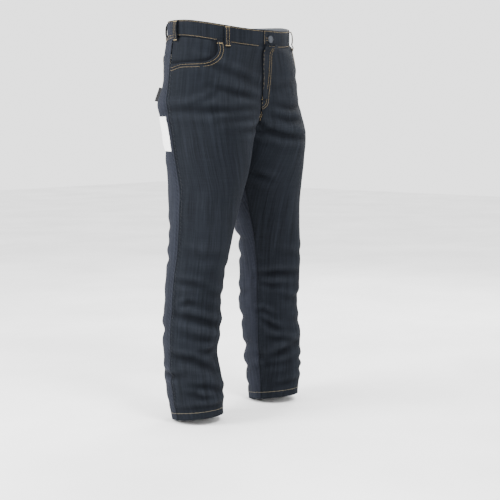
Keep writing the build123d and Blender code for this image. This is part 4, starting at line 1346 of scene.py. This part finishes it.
def belt_loops():
    """Straps over the waistband, one for each solid of the CAD node."""
    mesh = frame["nodes"]["belt_loops"].data
    group = list(range(len(mesh.vertices)))

    def root(i):
        while group[i] != i:
            group[i] = group[group[i]]
            i = group[i]
        return i

    seen = {}
    for vertex in mesh.vertices:
        key = tuple(round(c, 6) for c in vertex.co)
        if key in seen:
            group[root(vertex.index)] = root(seen[key])
        seen[key] = vertex.index
    for edge in mesh.edges:
        group[root(edge.vertices[0])] = root(edge.vertices[1])
    clusters = {}
    for vertex in mesh.vertices:
        clusters.setdefault(root(vertex.index), []).append(vertex.co)
    straps = [c for c in clusters.values() if len(c) > 3]
    for n, cluster in enumerate(sorted(straps, key=lambda c: c[0].x)):
        points = np.array(cluster)
        centre = points.mean(0)
        a, b = BAND_AXES
        out = np.array([centre[0] / a**2, (centre[1] - BAND_MIDDLE) / b**2, 0])
        out /= np.linalg.norm(out)
        side = np.array([-out[1], out[0], 0])
        reach = points @ out
        top, low = points[:, 2].max(), points[:, 2].min()
        middle = (points @ side).min() / 2 + (points @ side).max() / 2
        near, far = reach.min(), reach.max()
        height = top - low
        foot_reach = reach[points[:, 2] < low + 0.004].max() - 0.0012
        path = [(foot_reach, low + 0.0015), (foot_reach + 0.0005, low + 0.006),
                (foot_reach + 0.0022, low + 0.010), (far - 0.0034, low + 0.017),
                (far - 0.0016, low + height * 0.45), (far - 0.0013, low + height * 0.62),
                (far - 0.0020, low + height * 0.8), (far - 0.0048, low + height * 0.93),
                (near + 0.0030, top - 0.0014), (near + 0.0012, top - 0.0016)]
        fine = np.array([[np.interp(t, range(len(path)), [q[i] for q in path]) for i in (0, 1)]
                         for t in np.linspace(0, len(path) - 1, 46)])
        for _ in range(4):
            fine[1:-1] = (fine[:-2] + 2 * fine[1:-1] + fine[2:]) / 4
        wide = 7.3
        across = [(-wide, -0.5), (-wide, 0.45), (-wide + 0.8, 0.95), (-4.0, 1.05), (-3.1, 0.6), (-2.2, 1.15),
                  (0, 1.25), (2.2, 1.15), (3.1, 0.6), (4.0, 1.05), (wide - 0.8, 0.95), (wide, 0.45),
                  (wide, -0.5), (wide - 1, -0.95), (0, -1.0), (-wide + 1, -0.95)]
        direction = np.gradient(fine, axis=0)
        direction /= np.linalg.norm(direction, axis=1, keepdims=True)
        vertices, cloth = [], []
        for i, ((r, z), (dr, dz)) in enumerate(zip(fine, direction)):
            normal = out * dz - np.array([0, 0, 1]) * dr
            for u, v in across:
                wave = 0.25 * math.sin(i * 0.9 + n)
                vertices.append(out * r + side * (middle + (u + wave) * MM) + np.array([0, 0, z])
                                + normal * v * MM)
                cloth.append((u * MM + n * 0.1, z, 0))
        loop = len(across)
        faces = [(i * loop + k, i * loop + (k + 1) % loop,
                  (i + 1) * loop + (k + 1) % loop, (i + 1) * loop + k)
                 for i in range(len(fine) - 1) for k in range(loop)]
        faces.append(tuple(range(loop))[::-1])
        faces.append(tuple((len(fine) - 1) * loop + k for k in range(loop)))
        piece = mesh_object("belt_loop_" + str(n + 1), vertices, faces, FRONT, cloth=cloth,
                            painted_shade=np.full(len(vertices), 0.5))
        test = piece.data.polygons[20 * loop + 7]
        if test.normal.dot(Vector(out)) < 0:
            piece.data.flip_normals()
        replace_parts(piece, "belt_loops")
        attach(piece, "seat")
        for u in (-3.1, 3.1):
            line = [out * r + side * (middle + u * MM) + np.array([0, 0, z])
                    + (out * dz - np.array([0, 0, 1]) * dr) * 0.85 * MM
                    for (r, z), (dr, dz) in zip(fine[3:-8], direction[3:-8])]
            sew("seat", line, [out] * len(line))
        for i in (3, 36):
            r, z = fine[i]
            bar = [out * r + side * (middle + u * MM) + np.array([0, 0, z])
                   + (out * direction[i][1] - np.array([0, 0, 1]) * direction[i][0]) * 1.25 * MM
                   for u in (-5.6, 5.6)]
            bartack("seat", bar, [out, out])


def flap_point(d, z, off):
    """A point on the fly flap's face: d in mm to the left of the middle, z in metres."""
    half = HALVES["left"] if d > 0 else HALVES["right"]
    row = int(np.argmin(np.abs(LEVEL[:, -1] - z)))
    point, normal = row_point(half, row, abs(d))
    rise = 0.45 * smoothstep((20 - d) / 3.0) + 1.3 * smoothstep((3 - d) / 8.0) + off
    point = half.world(point + normal * rise * MM)
    return point + np.array([0, 0, z - LEVEL[row, -1]]), half.world(normal)


def fly_stitches():
    """The fly's double J of topstitching, its edge stitch and its bartacks."""
    for inset in (0, 5.5):
        line = [flap_point(15 - inset, z, 0.25) for z in np.arange(ZIP_TOP, -0.206, -0.002)]
        centre, radius = (-3, -0.207), 18.5 - inset
        line += [flap_point(centre[0] + radius * math.cos(a), centre[1] - radius * MM * math.sin(a), 0.25)
                 for a in np.linspace(0, 1.45, 16)]
        sew("flap", [p for p, _ in line], [n for _, n in line])
    edge = [flap_point(2.2 - flap_free_edge(z), z, 0.3) for z in np.arange(ZIP_TOP, ZIP_FOOT + 0.004, -0.003)]
    sew("flap", [p for p, _ in edge], [n for _, n in edge])
    for z in (-0.196, ZIP_FOOT + 0.004):
        bar = [flap_point(1.5 - flap_free_edge(z), z - t, 0.5) for t in (0, 0.003, 0.006)]
        bartack("flap", [p for p, _ in bar], [n for _, n in bar])


def pocket_and_seams(side):
    """Pocket mouths, yoke, seat and leg seams, hem and their stitches, for one side."""
    half = HALVES[side]
    points, normals = mouth_line(half, 1.2, 0.2)
    piece = strip(side + "_pocket_edge", points, normals, 5.4, 2.3, FRONT, 0.1)
    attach(piece, "seat")
    for out, off in ((3.4, 0.75), (9.4, 0.1)):
        points, normals = mouth_line(half, out, off)
        sew("seat", points, normals)
    tack = below_band(half, "front", POCKET_EDGE - 4, 4.5)
    points, normals = surface_line(half, "front", [(POCKET_EDGE + 1, tack), (POCKET_EDGE - 9, tack)], off=0.9)
    bartack("seat", points, normals)
    for rise in (2.5, 8.5):
        line = [(x, -112 + x * YOKE_RISE + rise) for x in (2, 60, 120, 160, 176)]
        points, normals = surface_line(half, "back", line, off=1.05)
        sew("seat", points, normals)
    if side == "left":
        for inset in (3.0, 9.0):
            line = [(inset, z) for z in (-84, -140, -200, -236)]
            points, normals = surface_line(half, "back", line, off=0.2)
            sew("seat", points, normals)
    points, normals = surface_line(half, "front", [(3, -236), (3, -254)], off=0.2)
    sew("seat", points, normals)
    hip = side + "_hip_threads"
    knee = side + "_knee_threads"
    for group, top, low in ((hip, -140, -444), (knee, -446, -940)):
        points, normals = surface_line(half, "front", [(3, top), (3, low)], False, 0.1)
        sew(group, points, normals, DARK_THREAD, length=2.6, gap=1.2, radius=0.4)
    foot = half.points[-1, :-1]
    up = half.points[-7, :-1] - foot
    up /= np.linalg.norm(up, axis=1, keepdims=True)
    line = half.world(foot + up * 15.6 * MM + half.normals[-5, :-1] * 0.25 * MM)
    outward = half.world(half.normals[-5, :-1])
    line, outward = np.vstack([line, line[:1]]), np.vstack([outward, outward[:1]])
    sew(side + "_hem_threads", line, outward, PALE_THREAD, length=2.6, gap=0.9, radius=0.34)
    hip_blend(thread_piece(hip, side + "_outseam_stitching_upper"), side)
    knee_blend(thread_piece(knee, side + "_outseam_stitching_lower"), side)
    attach(thread_piece(side + "_hem_threads", side + "_hem_stitching"), side + "_shank")


def back_pocket(side):
    """A back pocket patch with its double row of stitches."""
    half = HALVES[side]
    top = [(28, -104), (150, -96)]
    foot = [(30, -202), (88, -213), (146, -198)]

    def place(u, v):
        x0, z0 = top[0][0] + (top[1][0] - top[0][0]) * u, top[0][1] + (top[1][1] - top[0][1]) * u
        x1, z1 = (np.interp(u, (0, 0.5, 1), [p[i] for p in foot]) for i in (0, 1))
        return x0 + (x1 - x0) * v, z0 + (z1 - z0) * v

    rows = [[half.at("back", *place(u, v)) for u in np.linspace(0, 1, 34)] for v in np.linspace(0, 1, 30)]
    piece = slab(side + "_back_pocket", rows, 1.7, DENIM_PAINTED_RIM_LIGHT, 43)
    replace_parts(piece, "back_pockets")
    hang(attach(piece, "seat"), closed=True)
    for inset in (0.022, 0.07):
        run = [(inset, 0.01)] + [(inset, v) for v in (0.5, 1 - inset * 0.9)]
        run += [(u, 1 - inset * 0.9) for u in (0.25, 0.5, 0.75, 1 - inset)]
        run += [(1 - inset, 0.5), (1 - inset, 0.01)]
        points, normals = surface_line(half, "back", [place(u, v) for u, v in run], off=1.75)
        sew("seat", points, normals)
    for v in (0.03, 0.1):
        points, normals = surface_line(half, "back", [place(0.01, v), place(0.99, v)], off=1.75)
        sew("seat", points, normals)


def label_and_flag():
    """The blank white patch on the right hip and the small black pocket flag."""
    half = HALVES["right"]
    rows = [[half.at("back", turn, z, False, 0.3 * MM) for turn in np.linspace(6, 48, 26)]
            for z in np.linspace(-243, -325, 30)]
    piece = slab("blank_patch", rows, 1.3, WHITE, 44)
    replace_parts(piece, "blank_label")
    hip_blend(piece, "right")
    hang(piece, closed=True)
    low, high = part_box("pocket_flag")
    rows = []
    for z in np.linspace(high.z, low.z, 14) / MM:
        point, normal = half.at("back", 46, z, False, -1.0 * MM)
        side = np.cross(normal, (0, 0, 1))
        side /= np.linalg.norm(side)
        rows.append([(point + normal * reach * MM, side) for reach in np.linspace(0, 9, 6)])
    flag = slab("pocket_flag_tape", rows, 1.1, BLACK, 45)
    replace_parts(flag, "pocket_flag")
    hang(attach(flag, "seat"), closed=True)


waistband_stitches()
belt_loops()
fly_stitches()
for side_name in ("right", "left"):
    pocket_and_seams(side_name)
    back_pocket(side_name)
label_and_flag()
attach(thread_piece("seat", "seat_stitching"), "seat")
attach(thread_piece("flap", "fly_stitching"), "fly_flap")


# -------------------------------------------------------------- stage and lighting
def area_light(name, place, target, size, power, colour=(1, 1, 1)):
    """A soft square light."""
    light = bpy.data.lights.new(name, "AREA")
    light.size = size
    light.energy = power
    light.color = colour
    lamp = bpy.data.objects.new(name, light)
    lamp.location = place
    lamp.rotation_mode = "QUATERNION"
    lamp.rotation_quaternion = (Vector(target) - Vector(place)).to_track_quat("-Z", "Y")
    bpy.context.scene.collection.objects.link(lamp)


def studio():
    """A pale floor and world, a soft key from the front and a rim light from behind."""
    floor_mesh = bpy.data.meshes.new("floor")
    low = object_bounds()[0].z - 0.001
    floor_mesh.from_pydata([(-8, -8, low), (8, -8, low), (8, 8, low), (-8, 8, low)], [], [(0, 1, 2, 3)])
    floor = bpy.data.objects.new("floor", floor_mesh)
    bpy.context.scene.collection.objects.link(floor)
    set_material(floor, plain("floor_pale", (0.93, 0.93, 0.93), 0.9, grain=(2, 2, 2), depth=0.0))
    world = bpy.data.worlds.new("world")
    world.use_nodes = True
    world.node_tree.nodes["Background"].inputs[0].default_value = (1, 1, 1, 1)
    world.node_tree.nodes["Background"].inputs[1].default_value = 2.4
    bpy.context.scene.world = world
    area_light("key", (-0.6, -2.2, 1.9), (0, 0, -0.5), 0.9, 130)
    area_light("rim", (-2.1, 1.0, 0.5), (0, 0, -0.5), 1.0, 120)
    area_light("far_rim", (2.2, 0.6, 0.8), (0, 0, -0.5), 1.0, 60)


studio()
